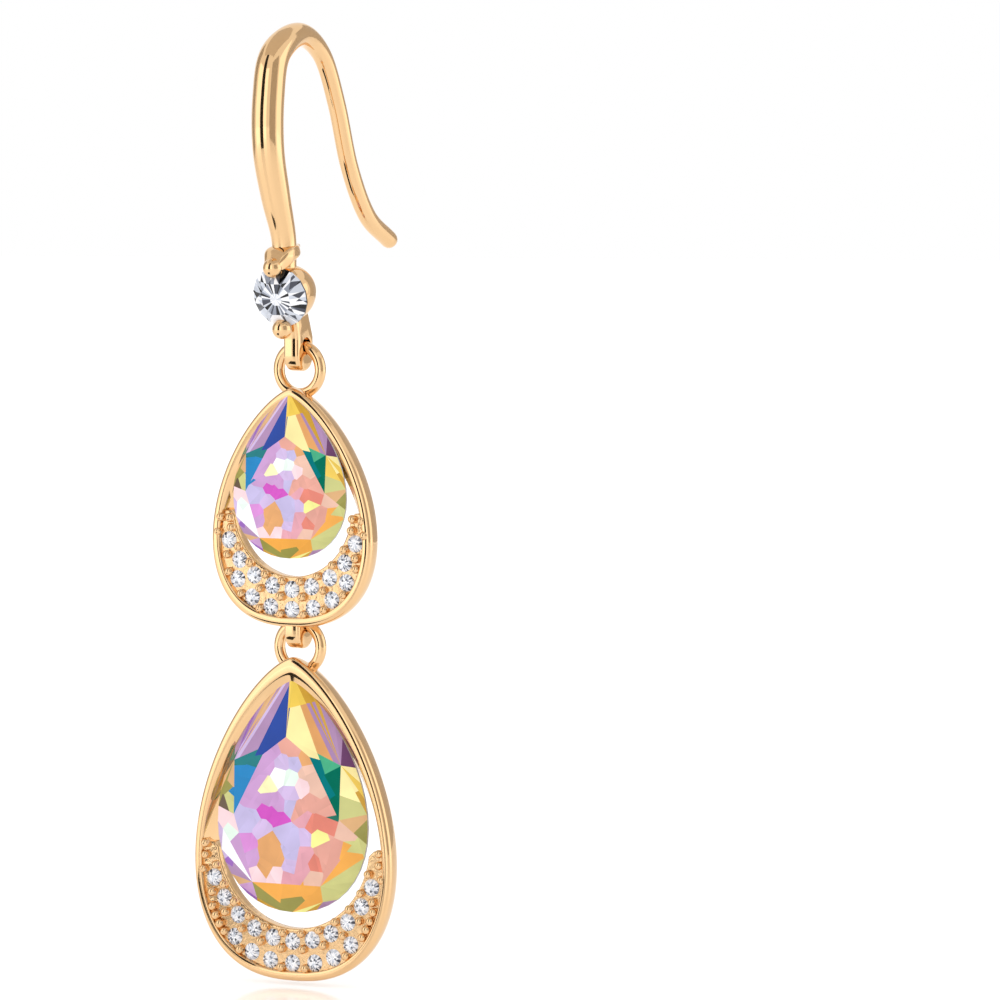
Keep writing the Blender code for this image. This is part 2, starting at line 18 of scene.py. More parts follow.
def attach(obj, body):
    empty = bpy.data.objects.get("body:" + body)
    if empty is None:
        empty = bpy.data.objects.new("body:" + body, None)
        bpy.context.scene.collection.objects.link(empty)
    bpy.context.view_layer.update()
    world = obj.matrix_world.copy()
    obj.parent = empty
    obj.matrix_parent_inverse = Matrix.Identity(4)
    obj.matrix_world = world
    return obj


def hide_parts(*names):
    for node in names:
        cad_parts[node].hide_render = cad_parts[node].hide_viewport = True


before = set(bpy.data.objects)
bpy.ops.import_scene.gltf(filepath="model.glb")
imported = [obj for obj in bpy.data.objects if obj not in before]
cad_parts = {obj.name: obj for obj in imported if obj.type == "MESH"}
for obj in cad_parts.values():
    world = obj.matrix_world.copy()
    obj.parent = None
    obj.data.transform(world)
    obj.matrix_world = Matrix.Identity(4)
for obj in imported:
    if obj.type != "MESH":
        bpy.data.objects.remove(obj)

LOG = logging.getLogger("teardrop_earring")
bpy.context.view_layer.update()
MM = 0.001
WELD = 0.0003 * MM
WALL_ANGLE = 40.0
ROUND_ANGLE = 60.0
FACING = 0.1
MANY_SIDED = 8
DOME = (0.0, 0.45, 0.9, 1.25, 1.5)
BMesh = bmesh.types.BMesh
Vert = bmesh.types.BMVert
Edge = bmesh.types.BMEdge
Face = bmesh.types.BMFace
Material = bpy.types.Material
Piece = bpy.types.Object
Ring = list[Vector]
Spot = tuple[float, float]


class Tint(Enum):
    """Named colours of the cut stones, in the display's red, green and blue, painted on their facets as
    reflections.
    """

    ROYAL = (0.09, 0.25, 0.60)
    AZURE = (0.06, 0.50, 0.74)
    TEAL = (0.05, 0.47, 0.49)
    EMERALD = (0.04, 0.43, 0.35)
    JADE = (0.30, 0.68, 0.52)
    MINT = (0.90, 0.97, 0.92)
    IVORY = (1.00, 0.96, 0.74)
    CREAM = (0.98, 0.92, 0.65)
    YELLOW = (0.93, 0.79, 0.35)
    LEMON = (0.96, 0.94, 0.58)
    LIME = (0.80, 0.80, 0.52)
    OLIVE = (0.60, 0.58, 0.30)
    TAN = (0.86, 0.68, 0.48)
    OCHRE = (0.80, 0.62, 0.24)
    ORANGE = (0.94, 0.67, 0.31)
    APRICOT = (0.88, 0.64, 0.41)
    PEACH = (0.91, 0.74, 0.66)
    SALMON = (0.88, 0.63, 0.57)
    CORAL = (0.88, 0.51, 0.44)
    ROSE = (0.88, 0.63, 0.68)
    BLUSH = (0.97, 0.84, 0.86)
    MAGENTA = (0.82, 0.32, 0.76)
    FUCHSIA = (0.83, 0.54, 0.82)
    ORCHID = (0.79, 0.61, 0.81)
    LILAC = (0.81, 0.72, 0.88)
    LAVENDER = (0.76, 0.72, 0.88)
    MAUVE = (0.68, 0.54, 0.70)
    PLUM = (0.42, 0.26, 0.42)
    PURPLE = (0.60, 0.40, 0.74)
    UMBER = (0.40, 0.33, 0.26)
    WHITE = (0.98, 0.98, 1.00)
    SILVER = (0.80, 0.82, 0.86)
    GREY = (0.55, 0.57, 0.62)
    SLATE = (0.28, 0.29, 0.33)
    BLACK = (0.05, 0.05, 0.06)

    def linear(self) -> tuple[float, float, float, float]:
        """Linear colour with full alpha."""
        return tuple(((c + 0.055) / 1.055) ** 2.4 if c > 0.04 else c / 12.92 for c in self.value) + (1.0,)


class Socket:
    """Wraps a node's output, so that an expression on it adds Math nodes."""

    def __init__(self, bench: "Bench", output: bpy.types.NodeSocket) -> None:
        """Keeps the bench that adds the nodes, and the output."""
        self.bench = bench
        self.output = output

    def _math(self, operation: str, first: object, second: object) -> "Socket":
        """One Math node on two values."""
        return self.bench.node("ShaderNodeMath", {"operation": operation}, {0: first, 1: second})

    def __add__(self, other: object) -> "Socket":
        """Sum."""
        return self._math("ADD", self, other)

    def __mul__(self, other: object) -> "Socket":
        """Product."""
        return self._math("MULTIPLY", self, other)

    def __sub__(self, other: object) -> "Socket":
        """Difference."""
        return self._math("SUBTRACT", self, other)

    __radd__ = __add__
    __rmul__ = __mul__

    def __rsub__(self, other: object) -> "Socket":
        """Difference from a number."""
        return self._math("SUBTRACT", other, self)


class Bench:
    """One material and its node tree."""

    def __init__(self, name: str) -> None:
        """Makes the material.

        Args:
            name: the material's name.
        """
        self.material = bpy.data.materials.new(name)
        self.material.use_nodes = True
        self.tree = self.material.node_tree
        self.shader = self.tree.nodes["Principled BSDF"]

    def node(self, kind: str, settings: dict, inputs: dict, output: int | str = 0) -> Socket:
        """Adds a node.

        Args:
            kind: the node's type.
            settings: its settings, set first.
            inputs: values or sockets for its inputs, by name or index.
            output: the output that is wanted.

        Returns:
            The wanted output.
        """
        made = self.tree.nodes.new(kind)
        for key, value in settings.items():
            setattr(made, key, value)
        for key, value in inputs.items():
            self.feed(made.inputs[key], value)
        return Socket(self, made.outputs[output])

    def feed(self, target: bpy.types.NodeSocket, value: object) -> None:
        """Links a socket to an input, or sets a value on it."""
        if isinstance(value, Socket):
            self.tree.links.new(value.output, target)
        else:
            target.default_value = value

    def mix(self, factor: object, first: object, second: object) -> Socket:
        """Adds a Mix node for two colours, whose sockets are told apart by their index."""
        return self.node("ShaderNodeMix", {"data_type": "RGBA"}, {0: factor, 6: first, 7: second}, 2)

    def noise(self, scale: float, detail: float = 2.0) -> Socket:
        """Adds a noise that stays with the object."""
        place = self.node("ShaderNodeTexCoord", {}, {}, "Object")
        return self.node("ShaderNodeTexNoise", {}, {"Vector": place, "Scale": scale, "Detail": detail})

    def finish(self, **values: object) -> Material:
        """Feeds the shader's inputs and returns the material.

        Args:
            values: the shader's inputs by name, with _ for a space.

        Returns:
            The finished material.
        """
        for key, value in values.items():
            self.feed(self.shader.inputs[key.replace("_", " ")], value)
        return self.material


@dataclass(frozen=True)
class GoldPlate:
    """Polished light gold plate with faint clouding and fine polishing marks."""

    name: str = "gold_plate"
    bright: tuple[float, ...] = (0.86, 0.575, 0.31, 1.0)
    deep: tuple[float, ...] = (0.82, 0.53, 0.27, 1.0)
    roughness: float = 0.07
    clouding: float = 0.05
    cloud_scale: float = 260.0
    grain: float = 2600.0
    marks: float = 0.02
    relief: float = 0.02 * MM

    def make(self) -> Material:
        """Builds the material.

        Returns:
            The material.
        """
        bench = Bench(self.name)
        cloud = bench.noise(self.cloud_scale)
        fine = bench.noise(self.grain, 3.0)
        colour = bench.mix(cloud, self.deep, self.bright)
        raised = {"Strength": self.marks, "Distance": self.relief, "Height": fine}
        bump = bench.node("ShaderNodeBump", {}, raised)
        rough = self.roughness + (cloud - 0.5) * self.clouding
        return bench.finish(Base_Color=colour, Metallic=1.0, Roughness=rough, Normal=bump)


@dataclass(frozen=True)
class CutStone:
    """Polished facets whose colours, painted reflections, are kept in the mesh."""

    name: str
    roughness: float
    index: float
    depth: float
    cloud_scale: float = 700.0
    clouding: float = 0.02
    lowest: float = 0.9
    lift: float = 0.3

    def make(self) -> Material:
        """Builds the material.

        Returns:
            The material.
        """
        bench = Bench(self.name)
        # The facet colour is a painted reflection, written into the mesh.
        facet = bench.node("ShaderNodeAttribute", {"attribute_name": "facet"}, {}, "Color")
        cloud = bench.noise(self.cloud_scale)
        scale = cloud * self.lift + self.lowest
        lit = bench.node("ShaderNodeVectorMath", {"operation": "SCALE"}, {0: facet, "Scale": scale})
        rough = self.roughness + cloud * self.clouding
        return bench.finish(Base_Color=bench.mix(self.depth, facet, lit), Roughness=rough, IOR=self.index)


@dataclass(frozen=True)
class Paint:
    """Matt paint of a stage piece, with a faint cloudiness."""

    name: str
    shade: float
    roughness: float = 0.88
    glow: float = 0.0
    warmth: float = 0.1
    clouding: float = 0.02
    cloud_scale: float = 12.0

    def make(self) -> Material:
        """Builds the material.

        Returns:
            The material.
        """
        bench = Bench(self.name)
        cloud = bench.noise(self.cloud_scale)
        pale = (self.shade, self.shade * (1 - self.warmth / 2), self.shade * (1 - self.warmth), 1.0)
        dull = (*(c * (1 - self.clouding) for c in pale[:3]), 1.0)
        return bench.finish(
            Base_Color=bench.mix(cloud, dull, pale),
            Roughness=self.roughness + cloud * self.clouding,
            Emission_Color=(1.0, 1.0, 1.0, 1.0),
            Emission_Strength=self.glow,
        )


def tag(piece: Piece, material: Material, slot: str, body: str, *nodes: str) -> None:
    """Gives a piece its material, its body and the nodes that it stands for.

    Args:
        piece: the new piece.
        material: its finish.
        slot: the record's material slot, which is not used.
        body: the CAD body that it rides on.
        nodes: the CAD nodes that it replaces.
    """
    piece.data.materials.append(material)
    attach(piece, body)
    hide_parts(*nodes)
    LOG.info("%s rides on %s", piece.name, body)


def put(name: str, data: bpy.types.ID) -> Piece:
    """Adds an object with its data to the scene."""
    made = bpy.data.objects.new(name, data)
    bpy.context.scene.collection.objects.link(made)
    return made


def into_object(name: str, shape: BMesh, smooth: float | None) -> Piece:
    """Turns a bmesh into an object at the origin.

    Args:
        name: the object's name.
        shape: the bmesh, which is freed.
        smooth: angle in degrees above which an edge stays sharp, or None for flat facets.

    Returns:
        The new object.
    """
    bmesh.ops.remove_doubles(shape, verts=shape.verts, dist=WELD)
    bmesh.ops.recalc_face_normals(shape, faces=shape.faces)
    mesh = bpy.data.meshes.new(name)
    shape.to_mesh(mesh)
    shape.free()
    if smooth is not None:
        mesh.shade_smooth()
        mesh.set_sharp_from_angle(angle=math.radians(smooth))
    return put(name, mesh)


def of_kind(items: list, kind: type) -> list:
    """The items that are vertices, edges or faces, as asked."""
    return [item for item in items if isinstance(item, kind)]


def neighbours(items: list) -> list[tuple]:
    """Each item of a closed ring with the next one."""
    return list(zip(items, items[1:] + items[:1]))


def close_ends(shape: BMesh) -> None:
    """Fills the open ends of a tube."""
    bmesh.ops.holes_fill(shape, edges=[e for e in shape.edges if e.is_boundary], sides=0)


def cut_faces(shape: BMesh, faces: list[Face], point: Vector, across: Vector) -> None:
    """Cuts some faces where a plane passes through them."""
    geom = list({item for face in faces for item in (face, *face.edges, *face.verts)})
    bmesh.ops.bisect_plane(shape, geom=geom, plane_co=point, plane_no=across)


def spin_round(shape: BMesh, geom: list, steps: int) -> None:
    """Turns a profile once round the Y axis and joins its ends."""
    bmesh.ops.spin(
        shape, geom=geom, cent=(0, 0, 0), axis=(0, 1, 0), angle=math.tau, steps=steps, use_merge=True
    )


def loft(shape: BMesh, rings: list[Ring], closed: bool = False) -> list[list]:
    """Draws a wall through rings of points that match one to one.

    Args:
        shape: the bmesh to add to.
        rings: closed rings, each with the same number of points.
        closed: whether the last ring goes back to the first.

    Returns:
        The vertices of each ring.
    """
    verts = [shape.verts.new(point) for point in rings[0]]
    edges = [shape.edges.new(pair) for pair in neighbours(verts)]
    kept = [verts]
    for ring in rings[1:] + rings[:1] * closed:
        made = bmesh.ops.extrude_edge_only(shape, edges=edges)["geom"]
        fresh = set(of_kind(made, Vert))
        verts = [next(e.other_vert(v) for e in v.link_edges if e.other_vert(v) in fresh) for v in verts]
        for vert, point in zip(verts, ring):
            vert.co = point
        edges = [e for e in of_kind(made, Edge) if set(e.verts) <= fresh]
        kept.append(verts)
    if closed:
        bmesh.ops.weld_verts(shape, targetmap=dict(zip(kept.pop(), kept[0])))
    return kept


def soften(shape: BMesh, ring: list, width: float, segments: int = 4) -> None:
    """Rounds the edges along one ring of vertices.

    Args:
        shape: the bmesh.
        ring: the ring's vertices.
        width: the width of the rounding.
        segments: its steps.
    """
    members = set(ring)
    edges = [e for e in {e for v in ring for e in v.link_edges} if set(e.verts) <= members]
    bmesh.ops.bevel(
        shape,
        geom=edges,
        offset=width,
        offset_type="OFFSET",
        affect="EDGES",
        segments=segments,
        profile=0.5,
        material=-1,
        clamp_overlap=True,
    )


def smooth_path(points: list[Vector], radii: list[float], steps: int) -> tuple[list[Vector], list[float]]:
    """Runs a smooth curve through points, with the thickness smoothed too.

    Args:
        points: the points to pass through.
        radii: the radius at each.
        steps: how many steps each stretch gets.

    Returns:
        The curve's points and radii.
    """
    first = points[0] * 2 - points[1]
    last = points[-1] * 2 - points[-2]
    rows = [(p, r) for p, r in zip([first, *points, last], [radii[0], *radii, radii[-1]])]
    path, thick = [], []
    for a, b, c, d in zip(rows, rows[1:], rows[2:], rows[3:]):
        for step in range(steps):
            t = step / steps
            weights = (
                (-t + 2 * t**2 - t**3) / 2,
                (2 - 5 * t**2 + 3 * t**3) / 2,
                (t + 4 * t**2 - 3 * t**3) / 2,
                (t**3 - t**2) / 2,
            )
            path.append(sum((w * row[0] for w, row in zip(weights, (a, b, c, d))), Vector()))
            thick.append(sum(w * row[1] for w, row in zip(weights, (a, b, c, d))))
    return path + [points[-1]], thick + [radii[-1]]


def tube(shape: BMesh, path: list[Vector], radii: list[float], sides: int, domed: bool = True) -> None:
    """Round wire in the YZ plane, closed at both ends.

    Args:
        shape: the bmesh to add to.
        path: the centre line.
        radii: the radius at each of its points.
        sides: points round the wire.
        domed: whether its ends are rounded.
    """
    across = Vector((1, 0, 0))
    rings = []
    for index, (point, radius) in enumerate(zip(path, radii)):
        ahead = path[min(index + 1, len(path) - 1)] - path[max(index - 1, 0)]
        up = across.cross(ahead.normalized())
        ends = [(0.0, 1.0)]
        if domed and index in (0, len(path) - 1):
            way = -1 if index == 0 else 1
            ends = [(way * math.sin(a), math.cos(a)) for a in DOME]
            ends = ends[::way]
        for along, share in ends:
            middle = point + ahead.normalized() * radius * along
            rings.append(
                [
                    middle + (across * math.cos(a) + up * math.sin(a)) * radius * share
                    for a in (2 * math.pi * side / sides for side in range(sides))
                ]
            )
    loft(shape, rings)
    close_ends(shape)


def add_copy(target: BMesh, source: BMesh, place: Matrix) -> None:
    """Adds a turned and placed copy of one bmesh to another."""
    mesh = bpy.data.meshes.new("copy")
    source.to_mesh(mesh)
    mesh.transform(place)
    target.from_mesh(mesh)
    bpy.data.meshes.remove(mesh)


def turned(shape: BMesh, profile: list[Spot], sides: int, place: Matrix) -> None:
    """Turns a profile round the Y axis, and puts it in place.

    Args:
        shape: the bmesh to add to.
        profile: the profile as (radius, depth).
        sides: how many steps it turns in.
        place: where it goes.
    """
    piece = bmesh.new()
    verts = [piece.verts.new((radius, depth, 0)) for radius, depth in profile]
    edges = [piece.edges.new(pair) for pair in zip(verts, verts[1:])]
    spin_round(piece, verts + edges, sides)
    bmesh.ops.remove_doubles(piece, verts=piece.verts, dist=WELD)
    add_copy(shape, piece, place)
    piece.free()


def beads(shape: BMesh, centres: list[Vector], diameter: float) -> None:
    """Adds a smooth ball at each centre."""
    for centre in centres:
        bmesh.ops.create_uvsphere(
            shape, u_segments=20, v_segments=12, radius=diameter / 2, matrix=Matrix.Translation(centre)
        )


def circle(radius: float, depth: float, sides: int, turn: float = 0.0) -> list[Vector]:
    """Points round the Y axis at a depth along it."""
    angles = [2 * math.pi * (side + turn) / sides for side in range(sides)]
    return [Vector((radius * math.sin(a), depth, radius * math.cos(a))) for a in angles]


def teardrop_half(half_width: float, share: float, tip_power: float, base_power: float) -> float:
    """Half-width of a teardrop at a share of its height below the tip."""
    widest = tip_power / (tip_power + base_power)
    peak = widest**tip_power * (1 - widest) ** base_power
    return half_width * share**tip_power * (1 - share) ** base_power / peak


def teardrop(half: float, top: float, base: float, steps: int, powers: Spot) -> list[tuple]:
    """Closed teardrop outline as (x, z) points, from the tip down the right side and up the left one.

    Args:
        half: half its width.
        top: height of its tip.
        base: height of its lowest point.
        steps: steps down each side.
        powers: how blunt the tip and the base are.

    Returns:
        The outline's points.
    """
    shares = [(1 - math.cos(math.pi * step / steps)) / 2 for step in range(steps + 1)]
    right = [(teardrop_half(half, share, *powers), top + (base - top) * share) for share in shares]
    return right + [(-x, z) for x, z in reversed(right[1:-1])]


class Chart:
    """Colours of a stone's face, as seeds whose nearest one colours each place."""

    INWARDS: float = 0.02
    DEEPEST: int = 24

    def __init__(self, seeds: list[tuple[float, float, Tint]]) -> None:
        """Keeps seeds of (x, z, tint)."""
        self.seeds = seeds

    def nearest(self, place: Vector) -> int:
        """Index of the seed nearest to a place, seen from the front."""
        return min(
            range(len(self.seeds)),
            key=lambda i: (self.seeds[i][0] - place.x) ** 2 + (self.seeds[i][1] - place.z) ** 2,
        )

    def tint(self, place: Vector) -> Tint:
        """Tint of the nearest seed."""
        return self.seeds[self.nearest(place)][2]

    def divide(self, shape: BMesh, face: Face) -> None:
        """Cuts a flat face along the borders between its seeds.

        Args:
            shape: the bmesh.
            face: the face to cut.
        """
        waiting = [(face, 0)]
        while waiting:
            part, depth = waiting.pop()
            middle = part.calc_center_median()
            places = [middle] + [v.co.lerp(middle, self.INWARDS) for v in part.verts]
            near = sorted({self.nearest(place) for place in places})
            other = [i for i in near if self.seeds[i][2] != self.seeds[near[0]][2]]
            if not other or depth > self.DEEPEST:
                continue
            a, b = (Vector((self.seeds[i][0], middle.y, self.seeds[i][1])) for i in (near[0], other[0]))
            geom = [part, *part.edges, *part.verts]
            across = (b - a).normalized()
            made = bmesh.ops.bisect_plane(shape, geom=geom, plane_co=(a + b) / 2, plane_no=across)
            waiting += [(item, depth + 1) for item in of_kind(made["geom"], Face)]


def paint(shape: BMesh, face: Face, tint: Tint, rng: random.Random, spread: float) -> None:
    """Writes a face's colour, a painted reflection, to its corners, a little lighter at one side than at the
    other.

    Args:
        shape: the bmesh.
        face: the face.
        tint: its colour.
        rng: seeded source of the shading.
        spread: how far the shading goes.
    """
    layer = shape.loops.layers.float_color["facet"]
    slope = Vector((rng.uniform(-1, 1), 0, rng.uniform(-1, 1)))
    level = 1 + rng.uniform(-spread, spread) / 2
    middle = face.calc_center_median()
    size = max((v.co - middle).length for v in face.verts)
    for loop in face.loops:
        shade = level + spread * slope.dot(loop.vert.co - middle) / size
        colour = [min(1.0, max(0.0, c * shade)) for c in tint.linear()[:3]]
        loop[layer] = (*colour, 1.0)


def hull(points: list[Vector], flat: float = 0.6) -> BMesh:
    """Closed convex solid round points, with its flat facets whole.

    Args:
        points: the corners.
        flat: angle in degrees under which neighbours are one facet.

    Returns:
        The new bmesh.
    """
    shape = bmesh.new()
    shape.loops.layers.float_color.new("facet")
    for point in points:
        shape.verts.new(point)
    made = bmesh.ops.convex_hull(shape, input=shape.verts)
    bmesh.ops.delete(shape, geom=of_kind(made["geom_interior"], Vert), context="VERTS")
    bmesh.ops.dissolve_limit(shape, angle_limit=math.radians(flat), verts=shape.verts, edges=shape.edges)
    bmesh.ops.recalc_face_normals(shape, faces=shape.faces)
    return shape


def inside(corners: list[Vector], x: float, z: float) -> bool:
    """Whether a place lies within a convex facet seen from the front."""
    turns = [(b.x - a.x) * (z - a.z) - (b.z - a.z) * (x - a.x) for a, b in neighbours(corners)]
    return all(turn >= 0 for turn in turns) or all(turn <= 0 for turn in turns)


@dataclass(frozen=True)
class PearCut:
    """Cut of a pear stone. Places are shares: of half its width, of its height from the tip, of its crown."""

    crown: float = 0.075
    girdle: float = 0.015
    pavilion: float = 0.26
    powers: Spot = (0.8, 0.48)
    steps: int = 24
    belly: float = 0.62
    belly_depth: float = 0.5
    middle: float = 0.6
    keel: Spot = (0.5, 0.68)
    shading: float = 0.08
    seed: int = 7
    facets: tuple[tuple[float, float, float], ...] = (
        (0.0, 0.25, 1.0),
        (0.31, 0.33, 1.0),
        (0.70, 0.59, 1.0),
        (0.455, 0.875, 1.0),
        (0.465, 0.345, 0.905),
        (0.71, 0.36, 0.78),
        (0.90, 0.66, 0.36),
        (0.44, 0.945, 0.42),
    )
    shoulder: float = 0.335
    lines: tuple[tuple[float, float, float, float], ...] = (
        (0.0, 0.015, -0.43, 0.345),
        (0.0, 0.015, 0.45, 0.345),
        (-0.06, 0.02, -0.64, 0.35),
        (0.06, 0.02, 0.62, 0.35),
        (0.0, 0.13, 0.30, 0.10),
        (-0.10, 0.02, -0.80, 0.38),
    )
    # Painted reflections on the front: the crown's rainbow glints and the back facets seen through the table,
    # as (x, z, tint).
    seeds: tuple[tuple[float, float, Tint], ...] = (
        (-0.08, 0.16, Tint.ROYAL), (-0.19, 0.24, Tint.ROYAL), (-0.26, 0.31, Tint.ROYAL),
        (0.03, 0.09, Tint.YELLOW), (0.07, 0.11, Tint.YELLOW), (0.10, 0.20, Tint.CREAM),
        (0.20, 0.24, Tint.IVORY), (0.26, 0.31, Tint.CREAM), (-0.70, 0.350, Tint.EMERALD),
        (-0.61, 0.357, Tint.TEAL), (-0.46, 0.362, Tint.TEAL), (-0.48, 0.40, Tint.AZURE),
        (-0.60, 0.405, Tint.AZURE), (-0.67, 0.415, Tint.AZURE), (-0.66, 0.50, Tint.AZURE),
        (0.42, 0.37, Tint.TEAL), (0.50, 0.45, Tint.TEAL), (0.62, 0.42, Tint.EMERALD),
        (0.68, 0.55, Tint.EMERALD), (0.53, 0.355, Tint.JADE), (-0.33, 0.21, Tint.LILAC),
        (-0.42, 0.27, Tint.LILAC), (-0.20, 0.12, Tint.MAUVE), (-0.45, 0.22, Tint.MAUVE),
        (-0.52, 0.29, Tint.TAN), (-0.60, 0.31, Tint.LILAC), (-0.34, 0.14, Tint.TAN),
        (-0.55, 0.24, Tint.PURPLE), (-0.70, 0.31, Tint.MAUVE), (-0.80, 0.38, Tint.UMBER),
        (-0.78, 0.43, Tint.TAN), (-0.86, 0.48, Tint.OLIVE), (-0.93, 0.55, Tint.UMBER),
        (-0.79, 0.52, Tint.LIME), (-0.80, 0.61, Tint.BLUSH), (-0.70, 0.62, Tint.BLUSH),
        (-0.68, 0.72, Tint.WHITE), (-0.78, 0.67, Tint.MINT), (-0.60, 0.80, Tint.WHITE),
        (-0.74, 0.76, Tint.WHITE), (-0.84, 0.73, Tint.WHITE), (-0.97, 0.68, Tint.LILAC),
        (-0.92, 0.76, Tint.LILAC), (-0.84, 0.81, Tint.PURPLE), (-0.72, 0.83, Tint.MAUVE),
        (-0.66, 0.86, Tint.TAN), (-0.57, 0.89, Tint.ORCHID), (-0.72, 0.89, Tint.PLUM),
        (-0.60, 0.93, Tint.PURPLE), (-0.30, 0.91, Tint.ORANGE), (0.05, 0.90, Tint.ORANGE),
        (0.30, 0.905, Tint.ORANGE), (-0.38, 0.965, Tint.OCHRE), (-0.22, 0.975, Tint.OLIVE),
        (-0.08, 0.98, Tint.MAUVE), (0.08, 0.965, Tint.OLIVE), (0.16, 0.982, Tint.LEMON),
        (0.26, 0.98, Tint.OCHRE), (0.36, 0.985, Tint.MAGENTA), (0.46, 0.97, Tint.MAUVE),
        (0.50, 0.90, Tint.LIME), (0.62, 0.92, Tint.LIME), (0.74, 0.64, Tint.PEACH),
        (0.66, 0.71, Tint.SALMON), (0.76, 0.72, Tint.ORANGE), (0.58, 0.78, Tint.SALMON),
        (0.62, 0.84, Tint.LIME), (0.75, 0.83, Tint.LIME), (0.88, 0.76, Tint.LEMON),
        (0.90, 0.70, Tint.LIME), (0.84, 0.47, Tint.YELLOW), (0.80, 0.42, Tint.CREAM),
        (0.95, 0.52, Tint.OCHRE), (0.78, 0.53, Tint.LIME), (0.88, 0.60, Tint.TAN),
        (0.97, 0.63, Tint.OLIVE), (0.30, 0.20, Tint.APRICOT), (0.42, 0.29, Tint.YELLOW),
        (0.37, 0.17, Tint.OCHRE), (0.55, 0.31, Tint.TAN), (0.22, 0.09, Tint.OCHRE),
        (0.50, 0.20, Tint.MAUVE), (0.63, 0.27, Tint.MAUVE), (0.72, 0.31, Tint.PLUM),
        (-0.01, 0.285, Tint.SALMON), (0.11, 0.31, Tint.SALMON), (0.24, 0.335, Tint.APRICOT),
        (-0.17, 0.31, Tint.ORCHID), (-0.26, 0.37, Tint.ORCHID), (-0.36, 0.44, Tint.ORCHID),
        (-0.05, 0.36, Tint.LILAC), (0.12, 0.355, Tint.LAVENDER), (0.05, 0.425, Tint.MINT),
        (-0.08, 0.415, Tint.WHITE), (-0.27, 0.465, Tint.IVORY), (0.28, 0.40, Tint.PEACH),
        (0.40, 0.465, Tint.PEACH), (0.225, 0.46, Tint.BLUSH), (0.34, 0.515, Tint.SALMON),
        (-0.25, 0.52, Tint.ORCHID), (-0.10, 0.54, Tint.ORCHID), (-0.41, 0.53, Tint.ORCHID),
        (0.05, 0.49, Tint.LILAC), (0.05, 0.545, Tint.LAVENDER), (-0.19, 0.58, Tint.MAGENTA),
        (-0.30, 0.568, Tint.MAGENTA), (-0.085, 0.60, Tint.MAGENTA), (-0.56, 0.62, Tint.LAVENDER),
        (-0.44, 0.60, Tint.LAVENDER), (-0.315, 0.64, Tint.LILAC), (0.16, 0.56, Tint.SALMON),
        (0.48, 0.61, Tint.CORAL), (0.33, 0.62, Tint.CORAL), (0.235, 0.60, Tint.ROSE),
        (0.53, 0.545, Tint.SALMON), (-0.04, 0.65, Tint.LAVENDER), (0.11, 0.67, Tint.LAVENDER),
        (0.24, 0.665, Tint.LILAC), (0.06, 0.74, Tint.LAVENDER), (-0.22, 0.70, Tint.APRICOT),
        (-0.25, 0.757, Tint.APRICOT), (-0.13, 0.767, Tint.APRICOT), (-0.285, 0.805, Tint.APRICOT),
        (-0.54, 0.717, Tint.FUCHSIA), (-0.47, 0.775, Tint.ORCHID), (0.43, 0.668, Tint.LEMON),
        (0.50, 0.725, Tint.SALMON), (0.25, 0.755, Tint.ROSE), (0.37, 0.785, Tint.CORAL),
        (0.235, 0.805, Tint.ROSE), (-0.41, 0.845, Tint.BLUSH), (-0.13, 0.84, Tint.BLUSH),
        (0.02, 0.85, Tint.ROSE), (0.05, 0.80, Tint.LILAC), (0.36, 0.84, Tint.PEACH),
    )


@dataclass
class PearStone:
    """Pear-cut crystal with a rainbow coating, facing -Y, whose facets carry painted reflections."""

    name: str
    width: float
    height: float
    top: float
    forward: float
    cut: PearCut = PearCut()

    def corners(self) -> list[Vector]:
        """Corners of the table, crown, girdle and pavilion.

        Returns:
            The corners.
        """
        cut, half = self.cut, self.width / 2
        edge = self.width * cut.girdle / 2
        rise = self.width * cut.crown - edge
        points = []
        for across, down, share in cut.facets:
            for side in (-1, 1) if across else (1,):
                depth = -self.forward - edge - rise * share
                points.append(Vector((side * across * half, depth, self.top - down * self.height)))
        back = self.width * cut.pavilion
        centre = self.top - cut.middle * self.height
        for x, z in teardrop(half, self.top, self.top - self.height, cut.steps, cut.powers):
            points.append(Vector((x, -self.forward - edge, z)))
            points.append(Vector((x, -self.forward + edge, z)))
        for x, z in teardrop(half, self.top, self.top - self.height, cut.steps // 2, cut.powers):
            depth = -self.forward + cut.belly_depth * back
            points.append(Vector((x * cut.belly, depth, centre + (z - centre) * cut.belly)))
        for down in cut.keel:
            points.append(Vector((0, -self.forward + back, self.top - down * self.height)))
        return points

    def build(self) -> Piece:
        """Cuts the stone and colours its facets with painted reflections.

        Returns:
            The stone.
        """
        shape = hull(self.corners())
        half = self.width / 2
        seeds = [(u * half, self.top - v * self.height, tint) for u, v, tint in self.cut.seeds]
        rng = random.Random(self.cut.seed)
        shoulder = self.top - self.cut.shoulder * self.height
        for u1, v1, u2, v2 in self.cut.lines:
            start = Vector((u1 * half, 0, self.top - v1 * self.height))
            way = Vector((u2 * half, 0, self.top - v2 * self.height)) - start
            upper = [f for f in shape.faces if f.normal.y < -FACING and f.calc_center_median().z > shoulder]
            upper = [f for f in upper if (f.calc_center_median().x > 0) == (u2 > 0)]
            cut_faces(shape, upper, start, Vector((way.z, 0, -way.x)).normalized())
        for face in list(shape.faces):
            if face.normal.y < -FACING and face.calc_center_median().z < shoulder:
                corners = [v.co for v in face.verts]
                held = [seed for seed in seeds if inside(corners, seed[0], seed[1])]
                if len(held) > 1:
                    Chart(held).divide(shape, face)
        # Painted reflections: the front facets take the chart's colours, the back ones a mirrored chart and
        # the girdle silver.
        chart = Chart(seeds)
        mirrored = Chart([(-x, z, tint) for x, z, tint in seeds if tint not in (Tint.UMBER, Tint.PLUM)])
        for face in shape.faces:
            middle = face.calc_center_median()
            if abs(face.normal.y) < FACING:
                tint = Tint.SILVER
            else:
                tint = (chart if face.normal.y < 0 else mirrored).tint(middle)
            paint(shape, face, tint, rng, self.cut.shading)
        return into_object(self.name, shape, None)


